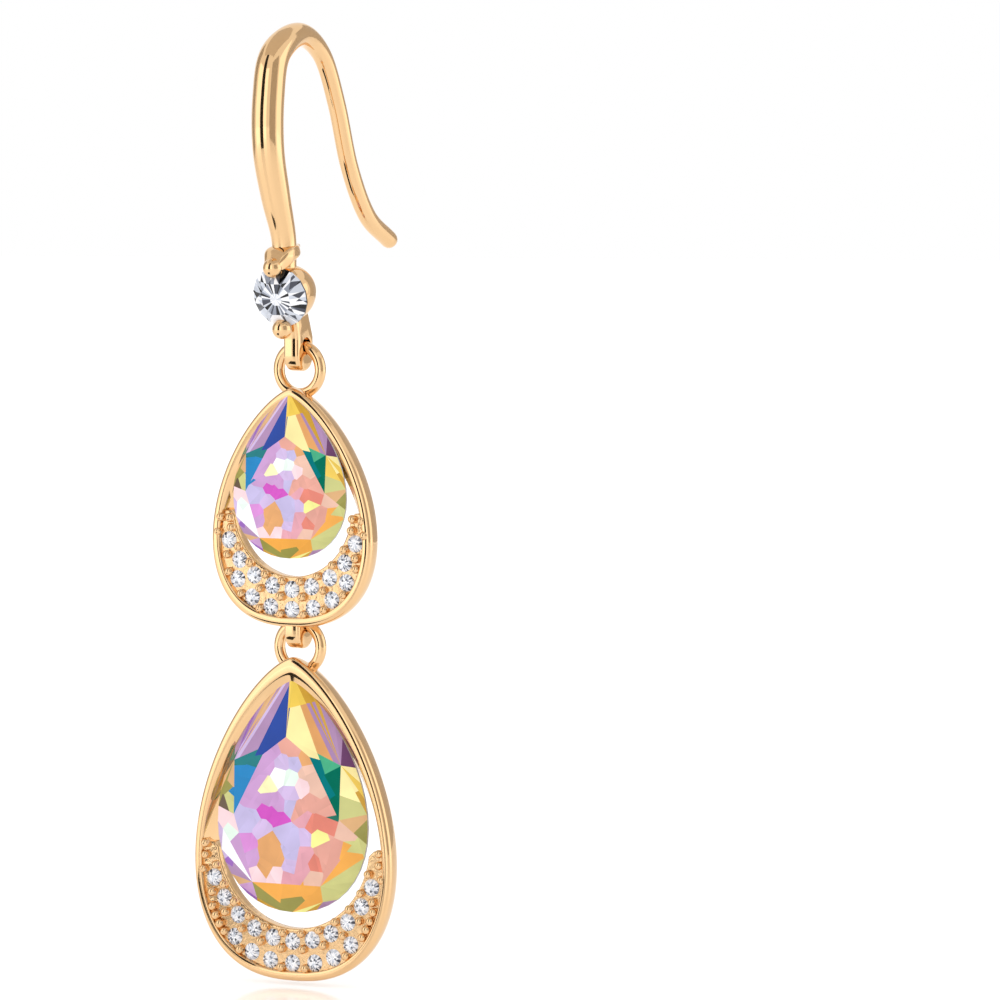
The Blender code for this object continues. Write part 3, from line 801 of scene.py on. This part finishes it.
@dataclass(frozen=True)
class BrilliantCut:
    """Cut of the round stones, as shares of their diameter."""

    table: float = 0.56
    crown: float = 0.16
    pavilion: float = 0.43
    girdle: float = 0.015
    shoulder: float = 0.40
    shoulder_rise: float = 0.085
    culet: float = 0.2
    culet_depth: float = 0.62

    def corners(self, diameter: float, sides: int) -> list[Vector]:
        """Corners of a stone with the middle of its girdle at the origin.

        Args:
            diameter: the stone's diameter.
            sides: the table's sides.

        Returns:
            The corners.
        """
        points = circle(diameter * self.table / 2, -diameter * self.crown, sides, 0.5)
        points += circle(diameter * self.shoulder, -diameter * self.shoulder_rise, sides)
        points += circle(diameter / 2, -diameter * self.girdle, 2 * sides, 0.5)
        points += circle(diameter / 2, diameter * self.girdle, 2 * sides, 0.5)
        points += circle(diameter * self.culet, diameter * self.pavilion * self.culet_depth, sides, 0.5)
        return points + [Vector((0, diameter * self.pavilion, 0))]


@dataclass
class Brilliant:
    """Round clear stone, whose facets carry painted reflections, a seeded play of white, grey and black."""

    diameter: float
    sides: int
    seed: int
    shards: int
    lights: tuple[Tint, ...]
    heart: tuple[Tint, ...] = (Tint.WHITE, Tint.SILVER, Tint.WHITE)
    heart_share: float = 0.13
    jitter: float = 0.35
    shading: float = 0.16
    inset: float = 0.9
    merging: float = 0.004
    cut: BrilliantCut = BrilliantCut()

    def shape(self) -> BMesh:
        """Cuts the stone round the origin, facing -Y, and paints reflections on the shards that its front
        breaks into.

        Returns:
            The stone's bmesh.
        """
        rng = random.Random(self.seed)
        shape = hull(self.cut.corners(self.diameter, self.sides))
        table = min(shape.faces, key=lambda face: face.calc_center_median().y)
        rest = self.diameter * (self.cut.table / 2 - self.heart_share)
        bmesh.ops.inset_individual(shape, faces=[table], thickness=rest * self.inset)
        for index in range(self.shards):
            turn = math.pi * (index + rng.uniform(-self.jitter, self.jitter)) / self.shards
            front = [face for face in shape.faces if face.normal.y < -FACING]
            cut_faces(shape, front, Vector(), Vector((math.cos(turn), 0, math.sin(turn))))
        bmesh.ops.remove_doubles(shape, verts=shape.verts, dist=self.diameter * self.merging)
        # Each shard gets a painted reflection, white and silver in the middle.
        for face in shape.faces:
            middle = face.calc_center_median()
            near = math.hypot(middle.x, middle.z) < self.diameter * self.heart_share
            paint(shape, face, rng.choice(self.heart if near else self.lights), rng, self.shading)
        return shape


@dataclass(frozen=True)
class Link:
    """Rings and the lugs that they hang in."""

    ring: float = 3.4 * MM
    wire: float = 0.66 * MM
    lug_width: float = 1.0 * MM
    lug_depth: float = 1.8 * MM
    lug_reach: float = 1.45 * MM
    lug_back: float = 0.75 * MM
    play: float = 0.14 * MM
    rounding: float = 0.2 * MM
    hole_rounding: float = 0.06 * MM
    stretch: float = 0.25 * MM
    wire_sides: int = 16
    ring_steps: int = 72
    foot_steps: int = 20

    def torus(self, shape: BMesh, hinge: float) -> None:
        """Ring in the XZ plane whose wire passes the hinge.

        Args:
            shape: the bmesh to add to.
            hinge: the height of the hinge.
        """
        radius = (self.ring - self.wire) / 2
        piece = bmesh.new()
        side = Matrix.Translation((radius, 0, 0))
        bmesh.ops.create_circle(piece, segments=self.wire_sides, radius=self.wire / 2, matrix=side)
        spin_round(piece, piece.verts[:] + piece.edges[:], self.ring_steps)
        add_copy(shape, piece, Matrix.Translation((0, 0, hinge - radius)))
        piece.free()

    def lug(self, shape: BMesh, hinge: float, joins: list[Spot]) -> None:
        """Lug in the YZ plane with a round foot and a hole round the hinge.

        Args:
            shape: the bmesh to add to.
            hinge: the height of the hinge.
            joins: the corners above its foot, as (y, z), from the back to the front.
        """
        radius = self.lug_depth / 2
        middle = (self.lug_back - radius, hinge - self.lug_reach + radius)
        angles = [math.pi * (step / self.foot_steps - 0.5) for step in range(self.foot_steps + 1)]
        outline = [(middle[0] + radius * math.sin(a), middle[1] - radius * math.cos(a)) for a in angles]
        corners = outline[-1:] + joins + outline[:1]
        for a, b in zip(corners, corners[1:]):
            steps = max(1, round(math.dist(a, b) / self.stretch))
            for step in range(1, steps):
                outline.append((a[0] + (b[0] - a[0]) * step / steps, a[1] + (b[1] - a[1]) * step / steps))
            outline += [b] if b is not corners[-1] else []
        hole = []
        for y, z in outline:
            away = math.hypot(y, z - hinge)
            reach = (self.wire / 2 + self.play) / away
            hole.append((y * reach, hinge + (z - hinge) * reach))
        half = self.lug_width / 2
        rings = [
            [Vector((x, y, z)) for y, z in points]
            for x, points in ((-half, outline), (-half, hole), (half, hole), (half, outline))
        ]
        kept = loft(shape, rings, closed=True)
        for ring, width in zip(kept, (self.rounding, self.hole_rounding, self.hole_rounding, self.rounding)):
            soften(shape, [v for v in ring if v.is_valid], width, 3)


@dataclass
class Drop:
    """One teardrop frame with its ring, plate, prongs and stones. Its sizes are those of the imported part."""

    name: str
    hinge: float
    stone: tuple[float, float, float, float]
    around: tuple[float, float, float, float]
    rim_top: float
    ring_sink: float
    counts: tuple[int, int]
    link: Link = Link()
    band_front: float = 1.15 * MM
    band_depth: float = 1.8 * MM
    rim: float = 0.55 * MM
    back_edge: float = 0.27 * MM
    lean: float = 0.55 * MM
    powers: Spot = (0.7, 0.4)
    lip: float = 0.02 * MM
    ledge: tuple[float, float, float] = (0.15, 2.7, 3.0)
    ledge_step: float = 0.06 * MM
    wall_turns: tuple[float, float, float] = (0.3, 0.65, 0.25)
    band_steps: int = 90
    rounding: tuple[tuple[int, float], ...] = ((0, 0.26), (1, 0.16), (3, 0.08), (4, 0.08), (5, 0.3), (6, 0.2))
    setback: float = 0.25 * MM
    plate_thickness: float = 0.8 * MM
    plate_inset: float = 0.7
    plate_rounding: Spot = (0.12 * MM, 0.08 * MM)
    plate_border: float = 0.04 * MM
    horn_rise: float = 0.12
    horn_taper: float = 0.5 * MM
    horn_tip: Spot = (0.3, 0.6)
    arc_steps: int = 30
    pave: float = 1.0 * MM
    pitch: float = 1.32 * MM
    spread: float = 1.04
    edge: float = 0.72 * MM
    rim_row: float = 1.02 * MM
    room: float = 0.1 * MM
    row_steps: int = 200
    stone_seeds: tuple[int, ...] = (3, 5, 8, 13)
    bead: float = 0.52 * MM
    bead_sizes: Spot = (0.92, 1.08)
    bead_seed: int = 11
    bead_front: float = 0.12 * MM
    bead_rows: Spot = (-0.44 * MM, 0.46 * MM)
    bead_ends: Spot = (1.05, 0.12 * MM)
    rim_beads: Spot = (0.2 * MM, 0.62 * MM)
    rim_steps: int = 160
    rim_reach: float = 0.05
    bead_clear: float = 0.32
    bead_apart: float = 1.02
    gap_clear: float = 0.2 * MM
    carries: bool = False
    hinge_rise: float = 0.2 * MM
    lug_notch: Spot = (0.28, 0.4)
    # Painted reflections of the small stones' facets.
    lights: tuple[Tint, ...] = (
        Tint.WHITE, Tint.WHITE, Tint.SILVER, Tint.GREY, Tint.SLATE, Tint.WHITE, Tint.SILVER,
    )
    cut: BrilliantCut = BrilliantCut()

    def __post_init__(self) -> None:
        """Works out the heights that everything else is placed by."""
        self.width, self.stone_height, self.forward, self.tip = self.stone
        margin, gap, crescent, horn = self.around
        self.half = self.width / 2 + margin
        self.height = self.tip + self.stone_height + gap + crescent
        self.top = self.hinge - (self.link.ring - self.link.wire) + self.ring_sink
        self.base = self.top - self.height
        self.gap_radius = self.half - horn
        self.gap_centre = self.base + crescent + self.gap_radius
        self.plate_front = -self.band_front + self.setback
        self.next_hinge = self.base + self.hinge_rise

    def keep(self, kind: str, shape: BMesh, smooth: float, gold: Material) -> None:
        """Makes a gold piece of the frame and puts it on the drop's body.

        Args:
            kind: what the piece is.
            shape: its bmesh.
            smooth: angle in degrees above which an edge stays sharp.
            gold: its finish.
        """
        piece = into_object(f"{self.name}_{kind}", shape, smooth)
        tag(piece, gold, "gold", f"{self.name}_drop", f"{self.name}_frame")

    def outline(self, inset: float, steps: int) -> list[Spot]:
        """The rim's outline, moved inwards."""
        return teardrop(self.half - inset, self.top - inset, self.base + inset, steps, self.powers)

    def on_arc(self, radius: float, angle: float) -> Spot:
        """A place on an arc round the gap, measured from straight down."""
        return (radius * math.sin(angle), self.gap_centre - radius * math.cos(angle))

    def band(self, gold: Material) -> None:
        """Rim and wall of the teardrop, with the ledge that the stone sits on.

        Args:
            gold: its finish.
        """
        front, rim, top = -self.band_front, self.rim, self.rim_top
        back = front + self.band_depth
        behind, arch_front, arch_back = self.ledge
        widest, turn, start = self.wall_turns
        start *= self.lean
        inner = self.lean + self.back_edge
        seat = rim + self.ledge_step
        section = (
            (front, self.lip, self.lip, self.lip),
            (front, rim, top, rim),
            (behind * self.band_depth - self.forward, seat, top + arch_front * rim, seat),
            (back, inner, top + arch_back * rim, inner),
            (back, self.lean, self.lean, self.lean),
            (front + turn * self.band_depth, start, start, start),
            (front + widest * self.band_depth, 0.0, 0.0, 0.0),
        )
        shape = bmesh.new()
        rings = []
        for depth, side, tip, base in section:
            loop = teardrop(self.half - side, self.top - tip, self.base + base, self.band_steps, self.powers)
            rings.append([Vector((x, depth, z)) for x, z in loop])
        kept = loft(shape, rings, closed=True)
        for index, width in self.rounding:
            soften(shape, kept[index], width * MM)
        self.keep("band", shape, WALL_ANGLE, gold)

    def plate(self, ground: Material) -> None:
        """Crescent that carries the small stones, with horns that run out along the rim.

        Args:
            ground: its finish.
        """
        horn = self.gap_centre - self.gap_radius * self.horn_rise
        reach = math.acos((self.gap_centre - horn) / self.gap_radius)
        turns = [reach * (step / self.arc_steps - 1) for step in range(2 * self.arc_steps + 1)]
        arc = [self.on_arc(self.gap_radius, turn) for turn in turns]
        rim = self.outline(self.rim * self.plate_inset, self.band_steps)
        rim = [(x, z) for x, z in rim if z < horn + self.horn_taper]
        outwards, up = self.horn_tip
        side = (arc[-1][0] + (rim[0][0] - arc[-1][0]) * outwards, horn + self.horn_taper * up)
        outline = arc + [side] + rim + [(-side[0], side[1])]
        shape = bmesh.new()
        verts = [shape.verts.new((x, self.plate_front, z)) for x, z in outline]
        edges = [shape.edges.new(pair) for pair in neighbours(verts)]
        bmesh.ops.contextual_create(shape, geom=edges)
        made = bmesh.ops.extrude_face_region(shape, geom=shape.faces[:])["geom"]
        moved = of_kind(made, Vert)
        bmesh.ops.translate(shape, verts=moved, vec=(0, self.plate_thickness, 0))
        soften(shape, verts, self.plate_rounding[0], 3)
        soften(shape, moved, self.plate_rounding[1], 2)
        broad = [face for face in shape.faces if len(face.verts) > MANY_SIDED]
        bmesh.ops.inset_region(shape, faces=broad, thickness=self.plate_border, depth=0.0)
        self.keep("plate", shape, WALL_ANGLE, ground)

    def inner_places(self) -> list[Spot]:
        """Centres of the small stones along the gap."""
        radius = self.gap_radius + self.edge
        count = self.counts[0] // 2
        return [self.on_arc(radius, self.pitch / radius * index) for index in range(-count, count + 1)]

    def outer_places(self) -> list[Spot]:
        """Centres of the small stones along the rim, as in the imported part.

        Returns:
            The centres as (x, z).
        """
        right = list(reversed(self.outline(self.rim_row, self.row_steps)[: self.row_steps + 1]))
        inner = self.inner_places()
        places, walked = [], 0.0
        for start, end in zip(right, right[1:]):
            if walked >= self.pitch * self.spread * len(places) and len(places) <= self.counts[1] // 2:
                if min(math.dist(start, place) for place in inner) < self.pave + self.room:
                    break
                places.append(start)
            walked += math.dist(start, end)
        return [(-x, z) for x, z in reversed(places[1:])] + places

    def bead_places(self) -> list[Spot]:
        """Centres of the prong beads between and around the small stones.

        Returns:
            The centres as (x, z).
        """
        radius = self.gap_radius + self.edge
        step = self.pitch / radius
        count = self.counts[0] // 2
        turns = [step * (index + 0.5) for index in range(-count - 1, count + 1)]
        wanted = [self.on_arc(radius + row, a) for row in self.bead_rows for a in turns]
        beyond, out = self.bead_ends
        ends = (-step * (count + beyond), step * (count + beyond))
        wanted += [self.on_arc(radius + out, a) for a in ends]
        reach = self.gap_centre - self.gap_radius * self.rim_reach
        for row in self.rim_beads:
            wanted += [(x, z) for x, z in self.outline(self.rim + row, self.rim_steps) if z < reach]
        stones = self.inner_places() + self.outer_places()
        clear = self.pave / 2 + self.bead * self.bead_clear
        apart = self.bead * self.bead_apart
        places = []
        for place in wanted:
            gap = math.hypot(place[0], place[1] - self.gap_centre) - self.gap_radius
            near = min(math.dist(place, stone) for stone in stones)
            if near > clear and gap > self.gap_clear and all(math.dist(place, p) > apart for p in places):
                places.append(place)
        return places

    def prongs(self, gold: Material) -> None:
        """Beads that hold the small stones.

        Args:
            gold: their finish.
        """
        shape = bmesh.new()
        rng = random.Random(self.bead_seed)
        for x, z in self.bead_places():
            centre = Vector((x, self.plate_front - self.bead_front, z))
            beads(shape, [centre], self.bead * rng.uniform(*self.bead_sizes))
        self.keep("prongs", shape, ROUND_ANGLE, gold)

    def lug_corners(self) -> list[Spot]:
        """Corners of the bottom lug above its foot, which keep clear of the small stone over it.

        Returns:
            The corners as (y, z), from the back to the front.
        """
        seat = self.base + self.rim_row
        behind, below = self.lug_notch
        return [
            (self.link.lug_back, seat),
            (self.plate_front + self.pave * self.cut.pavilion + self.room, seat),
            (self.plate_front + self.pave * behind, seat - self.pave * below),
            (self.link.lug_back - self.link.lug_depth, self.base + self.rim / 2),
        ]

    def links(self, gold: Material) -> None:
        """Top ring, and the bottom lug where another drop hangs.

        Args:
            gold: their finish.
        """
        shape = bmesh.new()
        self.link.torus(shape, self.hinge)
        self.keep("ring", shape, ROUND_ANGLE, gold)
        if self.carries:
            shape = bmesh.new()
            self.link.lug(shape, self.next_hinge, self.lug_corners())
            self.keep("lug", shape, WALL_ANGLE, gold)

    def small_stones(self, glass: Material) -> None:
        """All the small round stones of the plate as one joined mesh.

        Args:
            glass: their finish.
        """
        kinds = [
            Brilliant(self.pave, sides=8, seed=seed, shards=9, lights=self.lights, cut=self.cut).shape()
            for seed in self.stone_seeds
        ]
        shape = bmesh.new()
        shape.loops.layers.float_color.new("facet")
        rng = random.Random(len(self.name))
        places = self.inner_places() + self.outer_places()
        for index, (x, z) in enumerate(places):
            turn = Matrix.Rotation(rng.uniform(0, math.tau), 4, "Y")
            add_copy(shape, kinds[index % len(kinds)], Matrix.Translation((x, self.plate_front, z)) @ turn)
        piece = into_object(f"{self.name}_pave_stones", shape, None)
        nodes = [f"{self.name}_pave_{number:02d}" for number in range(1, len(places) + 1)]
        tag(piece, glass, "clear_stone", f"{self.name}_drop", *nodes)

    def pear(self, crystal: Material) -> None:
        """The large stone."""
        tip = self.top - self.tip
        stone = PearStone(f"{self.name}_pear_cut", self.width, self.stone_height, tip, self.forward)
        tag(stone.build(), crystal, "rainbow_crystal", f"{self.name}_drop", f"{self.name}_pear_stone")


@dataclass
class EarHook:
    """Ear wire with the two-prong setting, its round stone and the lug under it."""

    wire: float = 1.06 * MM
    front_wire: float = 1.85 * MM
    drop: float = 11.4 * MM
    front_reach: float = 3.45 * MM
    back_reach: float = 10.4 * MM
    arch_swell: float = 0.45
    fit: float = 0.985
    stone: float = 3.5 * MM
    stone_drop: float = 14.2 * MM
    stone_forward: float = 2.1 * MM
    tilt: float = math.radians(16)
    cup_depth: float = 2.65 * MM
    cup_inset: float = 0.13 * MM
    bowl: tuple[Spot, ...] = (
        (1.0, 0.0), (1.02, 0.25), (0.98, 0.45), (0.84, 0.66), (0.58, 0.86), (0.28, 0.97), (0.0, 1.0),
    )
    seat: tuple[float, float, float] = (0.46, 0.9, 0.08 * MM)
    bead: float = 1.15 * MM
    bead_place: Spot = (0.3, 0.05)
    neck: float = 1.06 * MM
    strap_tip: Spot = (0.16, 0.83)
    strap_raise: Vector = Vector((0, -0.10 * MM, 0.26 * MM))
    strap_stops: tuple[Spot, ...] = ((0.0, 0.0), (0.35, 0.6), (0.7, 1.0), (1.0, 0.0))
    strap_broad: tuple[float, ...] = (0.24 * MM, 0.80 * MM, 0.86 * MM, 0.55 * MM)
    strap_deep: tuple[float, ...] = (0.12 * MM, 0.40 * MM, 0.50 * MM, 0.42 * MM)
    strap_steps: int = 8
    lug_lean: float = 0.2
    lug_climb: tuple[float, float, float] = (0.4, 0.35, 0.1)
    lug_bulge: float = 0.22 * MM
    sides: int = 32
    # Painted reflections of the round stone's facets.
    lights: tuple[Tint, ...] = (
        Tint.WHITE, Tint.SLATE, Tint.WHITE, Tint.SILVER, Tint.GREY, Tint.BLACK, Tint.SILVER,
    )
    link: Link = Link()
    route: tuple[tuple[float, float, float], ...] = (
        (-1.10, -0.48, 0.45),
        (-0.95, -0.51, 0.50),
        (-0.76, -0.76, 0.82),
        (-0.54, -0.98, 0.98),
        (-0.30, -0.975, 1.00),
        (-0.10, -0.76, 0.90),
        (-0.0025, 0.0, 0.45),
        (-0.09, 0.24, 0.08),
        (-0.32, 0.40, 0.0),
        (-0.62, 0.54, 0.0),
        (-0.85, 0.73, 0.0),
        (-0.967, 0.974, 0.0),
    )

    def __post_init__(self) -> None:
        """Works out where the setting sits and where the first ring hangs."""
        centre = Vector((0, -self.stone_forward, -self.stone_drop))
        self.place = Matrix.Translation(centre) @ Matrix.Rotation(self.tilt, 4, "X")
        self.hinge = -self.stone_drop - self.stone / 2 - self.neck

    def keep(self, name: str, shape: BMesh, smooth: float, gold: Material) -> None:
        """Makes a gold piece and puts it on the hook's body."""
        tag(into_object(name, shape, smooth), gold, "gold", "hook", "ear_hook")

    def wire_route(self) -> tuple[list[Vector], list[float]]:
        """Route of the ear wire.

        Returns:
            Its points and its radius at each.
        """
        more = self.front_wire - self.wire
        arch = (self.wire + self.arch_swell * more) / 2
        points, radii = [], []
        for height, reach, thick in self.route:
            across = reach * (self.back_reach if reach > 0 else self.front_reach)
            points.append(Vector((0.0, across, arch + height * (self.drop + arch))))
            radii.append((self.wire + thick * more) / 2 * self.fit)
        return points, radii

    def strap(self, shape: BMesh, bead: Vector) -> None:
        """Broad wedge that comes over the front from behind the wire, down to the top bead.

        Args:
            shape: the bmesh to add to.
            bead: the middle of the top bead.
        """
        forward, rise = self.strap_tip
        tip = Vector((0, -self.stone_forward * forward, -self.stone_drop + self.stone * rise))
        route = [tip.lerp(bead, share) + self.strap_raise * lift for share, lift in self.strap_stops]
        path, half_widths = smooth_path(route, self.strap_broad, self.strap_steps)
        _, half_depths = smooth_path(route, self.strap_deep, self.strap_steps)
        way = (bead - tip).normalized()
        up = Vector((0, way.z, -way.y))
        turns = [2 * math.pi * side / self.sides for side in range(self.sides)]
        corners = [(math.cos(a), math.sin(a)) for a in turns]
        rounded = [(math.copysign(abs(c) ** 0.5, c), math.copysign(abs(d) ** 0.5, d)) for c, d in corners]
        rings = [
            [middle + Vector((wide * c, 0, 0)) + up * thick * d for c, d in rounded]
            for middle, wide, thick in zip(path, half_widths, half_depths)
        ]
        loft(shape, rings)
        close_ends(shape)

    def lug_corners(self) -> list[Spot]:
        """Corners of the lug above its foot, up into the cup.

        Returns:
            The corners as (y, z), from the back to the front.
        """
        front = self.link.lug_back - self.link.lug_depth
        waist = self.hinge + self.neck / 2
        back, middle, low = (-self.stone_drop - self.stone / 2 + self.cup_depth * c for c in self.lug_climb)
        return [
            (self.link.lug_back, waist),
            (self.link.lug_back * self.lug_lean, back),
            (front, middle),
            (front - self.lug_bulge, low),
            (front, waist),
        ]

    def setting(self, gold: Material) -> None:
        """Cup with its strap and its two prong beads.

        Args:
            gold: its finish.
        """
        mouth = self.stone / 2 - self.cup_inset
        deep, wide, down = self.seat
        bowl = [Vector((r * mouth, d * self.cup_depth, 0)) for r, d in self.bowl]
        curve, _ = smooth_path(bowl, [0.0] * len(bowl), 4)
        cavity = [(0.0, self.stone * deep), (mouth * wide, down)]
        shape = bmesh.new()
        turned(shape, cavity + [(max(p.x, 0.0), p.y) for p in curve], 2 * self.sides, self.place)
        forward, out = (self.bead * share for share in self.bead_place)
        hold = self.stone / 2 + out
        upper, lower = (self.place @ Vector((0, -forward, z)) for z in (hold, -hold))
        self.strap(shape, upper)
        beads(shape, [upper, lower], self.bead)
        self.keep("stone_setting", shape, WALL_ANGLE, gold)

    def build(self, gold: Material, glass: Material) -> None:
        """Makes the wire, the setting, the lug and the stone.

        Args:
            gold: the metal's finish.
            glass: the stone's finish.
        """
        shape = bmesh.new()
        tube(shape, *smooth_path(*self.wire_route(), 12), self.sides)
        self.keep("ear_wire", shape, ROUND_ANGLE, gold)
        self.setting(gold)
        shape = bmesh.new()
        self.link.lug(shape, self.hinge, self.lug_corners())
        self.keep("setting_lug", shape, WALL_ANGLE, gold)
        cut = Brilliant(self.stone, sides=8, seed=21, shards=19, lights=self.lights, heart_share=0.09)
        stone = cut.shape()
        bmesh.ops.transform(stone, matrix=self.place, verts=stone.verts)
        tag(into_object("round_brilliant", stone, None), glass, "clear_stone", "hook", "round_stone")


@dataclass
class Studio:
    """Camera, pale floor, soft lamps and the dark cards that draw lines on polished gold."""

    azimuth: float = math.radians(29)
    elevation: float = math.radians(3)
    lens: float = 200.0
    distance: float = 317.5 * MM
    aim: Vector = Vector((10.0 * MM, 5.54 * MM, -25.83 * MM))
    middle: Vector = Vector((0, 0, -26 * MM))
    floor: float = -53.6 * MM
    floor_side: float = 8.0
    card_height: float = 350 * MM
    lift: float = 1 * MM
    cards: tuple[tuple[str, float, float, float, float], ...] = (
        ("dark_card", -11.5, 23.0, 200 * MM, 0.01),
        ("left_card", -92.0, 36.0, 350 * MM, 0.45),
        ("right_card", 66.0, 44.0, 400 * MM, 0.5),
        ("back_card", 168.0, 44.0, 400 * MM, 0.55),
    )
    level_cards: tuple[tuple[str, Vector, Spot, float], ...] = (
        ("floor_card", Vector((-22 * MM, -28 * MM, 1 * MM)), (20 * MM, 25 * MM), 0.01),
        ("ceiling_card", Vector((0, 0, 213.6 * MM)), (240 * MM, 240 * MM), 0.6),
    )
    panels: tuple[tuple[str, float, float, float, Spot, float], ...] = (
        ("left_panel", -43.0, 12.0, 0.3, (0.18, 0.24), 0.6),
        ("front_panel", 11.0, 14.0, 0.36, (0.14, 0.24), 0.6),
        ("right_panel", 118.0, 10.0, 0.4, (0.3, 0.3), 0.5),
    )

    def way(self, azimuth: float, elevation: float) -> Vector:
        """Direction at an azimuth towards +X from the front and an elevation, both in radians."""
        flat = math.cos(elevation)
        return Vector((math.sin(azimuth) * flat, -math.cos(azimuth) * flat, math.sin(elevation)))

    def toward(self, azimuth: float, elevation: float, distance: float) -> Vector:
        """A place seen from the middle of the earring.

        Args:
            azimuth: degrees towards +X from the front.
            elevation: degrees above the horizon.
            distance: how far away it is.

        Returns:
            The place.
        """
        return self.middle + self.way(math.radians(azimuth), math.radians(elevation)) * distance

    def camera(self) -> None:
        """Long lens at the photograph's viewing angle."""
        data = bpy.data.cameras.new("camera")
        data.lens = self.lens
        data.sensor_width = 36.0
        data.clip_start = 0.01
        data.clip_end = 20.0
        eye = put("camera", data)
        way = self.way(self.azimuth, self.elevation)
        eye.location = self.aim + way * self.distance
        eye.rotation_euler = (-way).to_track_quat("-Z", "Y").to_euler()
        bpy.context.scene.camera = eye

    def light(
        self, name: str, azimuth: float, elevation: float, distance: float, size: Spot, glow: float
    ) -> None:
        """Soft rectangular light that points at the earring.

        Args:
            name: the light's name.
            azimuth: degrees towards +X from the front.
            elevation: degrees above the horizon.
            distance: how far away it is.
            size: its width and height.
            glow: how bright its surface is.
        """
        data = bpy.data.lights.new(name, "AREA")
        data.shape = "RECTANGLE"
        data.size, data.size_y = size
        data.energy = glow * math.pi * size[0] * size[1]
        lamp = put(name, data)
        lamp.location = self.toward(azimuth, elevation, distance)
        lamp.rotation_euler = (self.middle - lamp.location).to_track_quat("-Z", "Y").to_euler()
        lamp.visible_camera = False

    def stage_plane(self, name: str, place: Matrix, size: Spot, paint_coat: Paint, seen: bool) -> None:
        """Flat stage piece.

        Args:
            name: the piece's name.
            place: its middle and its turn.
            size: its width and length.
            paint_coat: its finish.
            seen: whether the camera sees it, or only reflections.
        """
        shape = bmesh.new()
        spread = place @ Matrix.Diagonal((*size, 1.0, 1.0))
        bmesh.ops.create_grid(shape, x_segments=1, y_segments=1, size=0.5, matrix=spread)
        mesh = bpy.data.meshes.new(name)
        shape.to_mesh(mesh)
        shape.free()
        card = put(name, mesh)
        card.data.materials.append(paint_coat.make())
        card.visible_camera = card.visible_diffuse = card.visible_shadow = seen

    def card(self, name: str, azimuth: float, spread: float, distance: float, shade: float) -> None:
        """Upright card on the floor, which only reflections see.

        Args:
            name: the card's name.
            azimuth: degrees towards +X from the front.
            spread: how many degrees it covers.
            distance: how far away it is.
            shade: how pale it is.
        """
        middle = self.toward(azimuth, 0.0, distance)
        middle.z = self.floor + (self.card_height + self.lift) / 2
        upright = Matrix.Rotation(math.radians(azimuth), 4, "Z") @ Matrix.Rotation(math.radians(90), 4, "X")
        size = (2 * distance * math.tan(math.radians(spread / 2)), self.card_height - self.lift)
        self.stage_plane(name, Matrix.Translation(middle) @ upright, size, Paint(name, shade), False)

    def build(self) -> None:
        """Sets up the world, the floor, the lamps, the cards and the camera."""
        scene = bpy.context.scene
        scene.view_settings.view_transform = "Standard"
        world = bpy.data.worlds.new("studio")
        scene.world = world
        world.use_nodes = True
        sky = world.node_tree.nodes["Background"]
        sky.inputs["Color"].default_value = (1.0, 1.0, 1.0, 1.0)
        sky.inputs["Strength"].default_value = 1.0
        ground = Paint("pale_floor", 0.9, roughness=0.11, glow=0.2, warmth=0.0)
        size = (self.floor_side, self.floor_side)
        level = Matrix.Translation((0, 0, self.floor))
        self.stage_plane("floor", level, size, ground, True)
        for card in self.cards:
            self.card(*card)
        for name, above, size, shade in self.level_cards:
            self.stage_plane(name, level @ Matrix.Translation(above), size, Paint(name, shade), False)
        for panel in self.panels:
            self.light(*panel)
        self.camera()


def main() -> None:
    """Builds the earring and its studio, and reports each piece."""
    logging.basicConfig(level=logging.INFO, format="%(message)s")
    gold = GoldPlate().make()
    ground = GoldPlate("raised_gold", roughness=0.2, grain=3400.0, marks=0.6, relief=0.06 * MM).make()
    # The stones' facet colours, kept in their meshes, are painted reflections.
    clear = CutStone("clear_stone", 0.02, 1.45, 0.6).make()
    rainbow = CutStone("rainbow_crystal", 0.03, 1.3, 0.8).make()
    hook = EarHook()
    hook.build(gold, clear)
    upper = Drop(
        name="upper",
        hinge=hook.hinge,
        stone=(7.5 * MM, 9.3 * MM, 1.1 * MM, 0.45 * MM),
        around=(1.55 * MM, 1.05 * MM, 2.9 * MM, 1.42 * MM),
        rim_top=0.46 * MM,
        ring_sink=0.38 * MM,
        counts=(9, 7),
        carries=True,
    )
    lower = Drop(
        name="lower",
        hinge=upper.next_hinge,
        stone=(10.0 * MM, 13.5 * MM, 0.85 * MM, 1.15 * MM),
        around=(1.55 * MM, 0.95 * MM, 3.0 * MM, 1.51 * MM),
        rim_top=0.9 * MM,
        ring_sink=0.85 * MM,
        counts=(11, 7),
    )
    for drop in (upper, lower):
        drop.band(gold)
        drop.plate(ground)
        drop.prongs(gold)
        drop.links(gold)
        drop.small_stones(clear)
        drop.pear(rainbow)
    Studio().build()


if __name__ == "__main__":
    main()
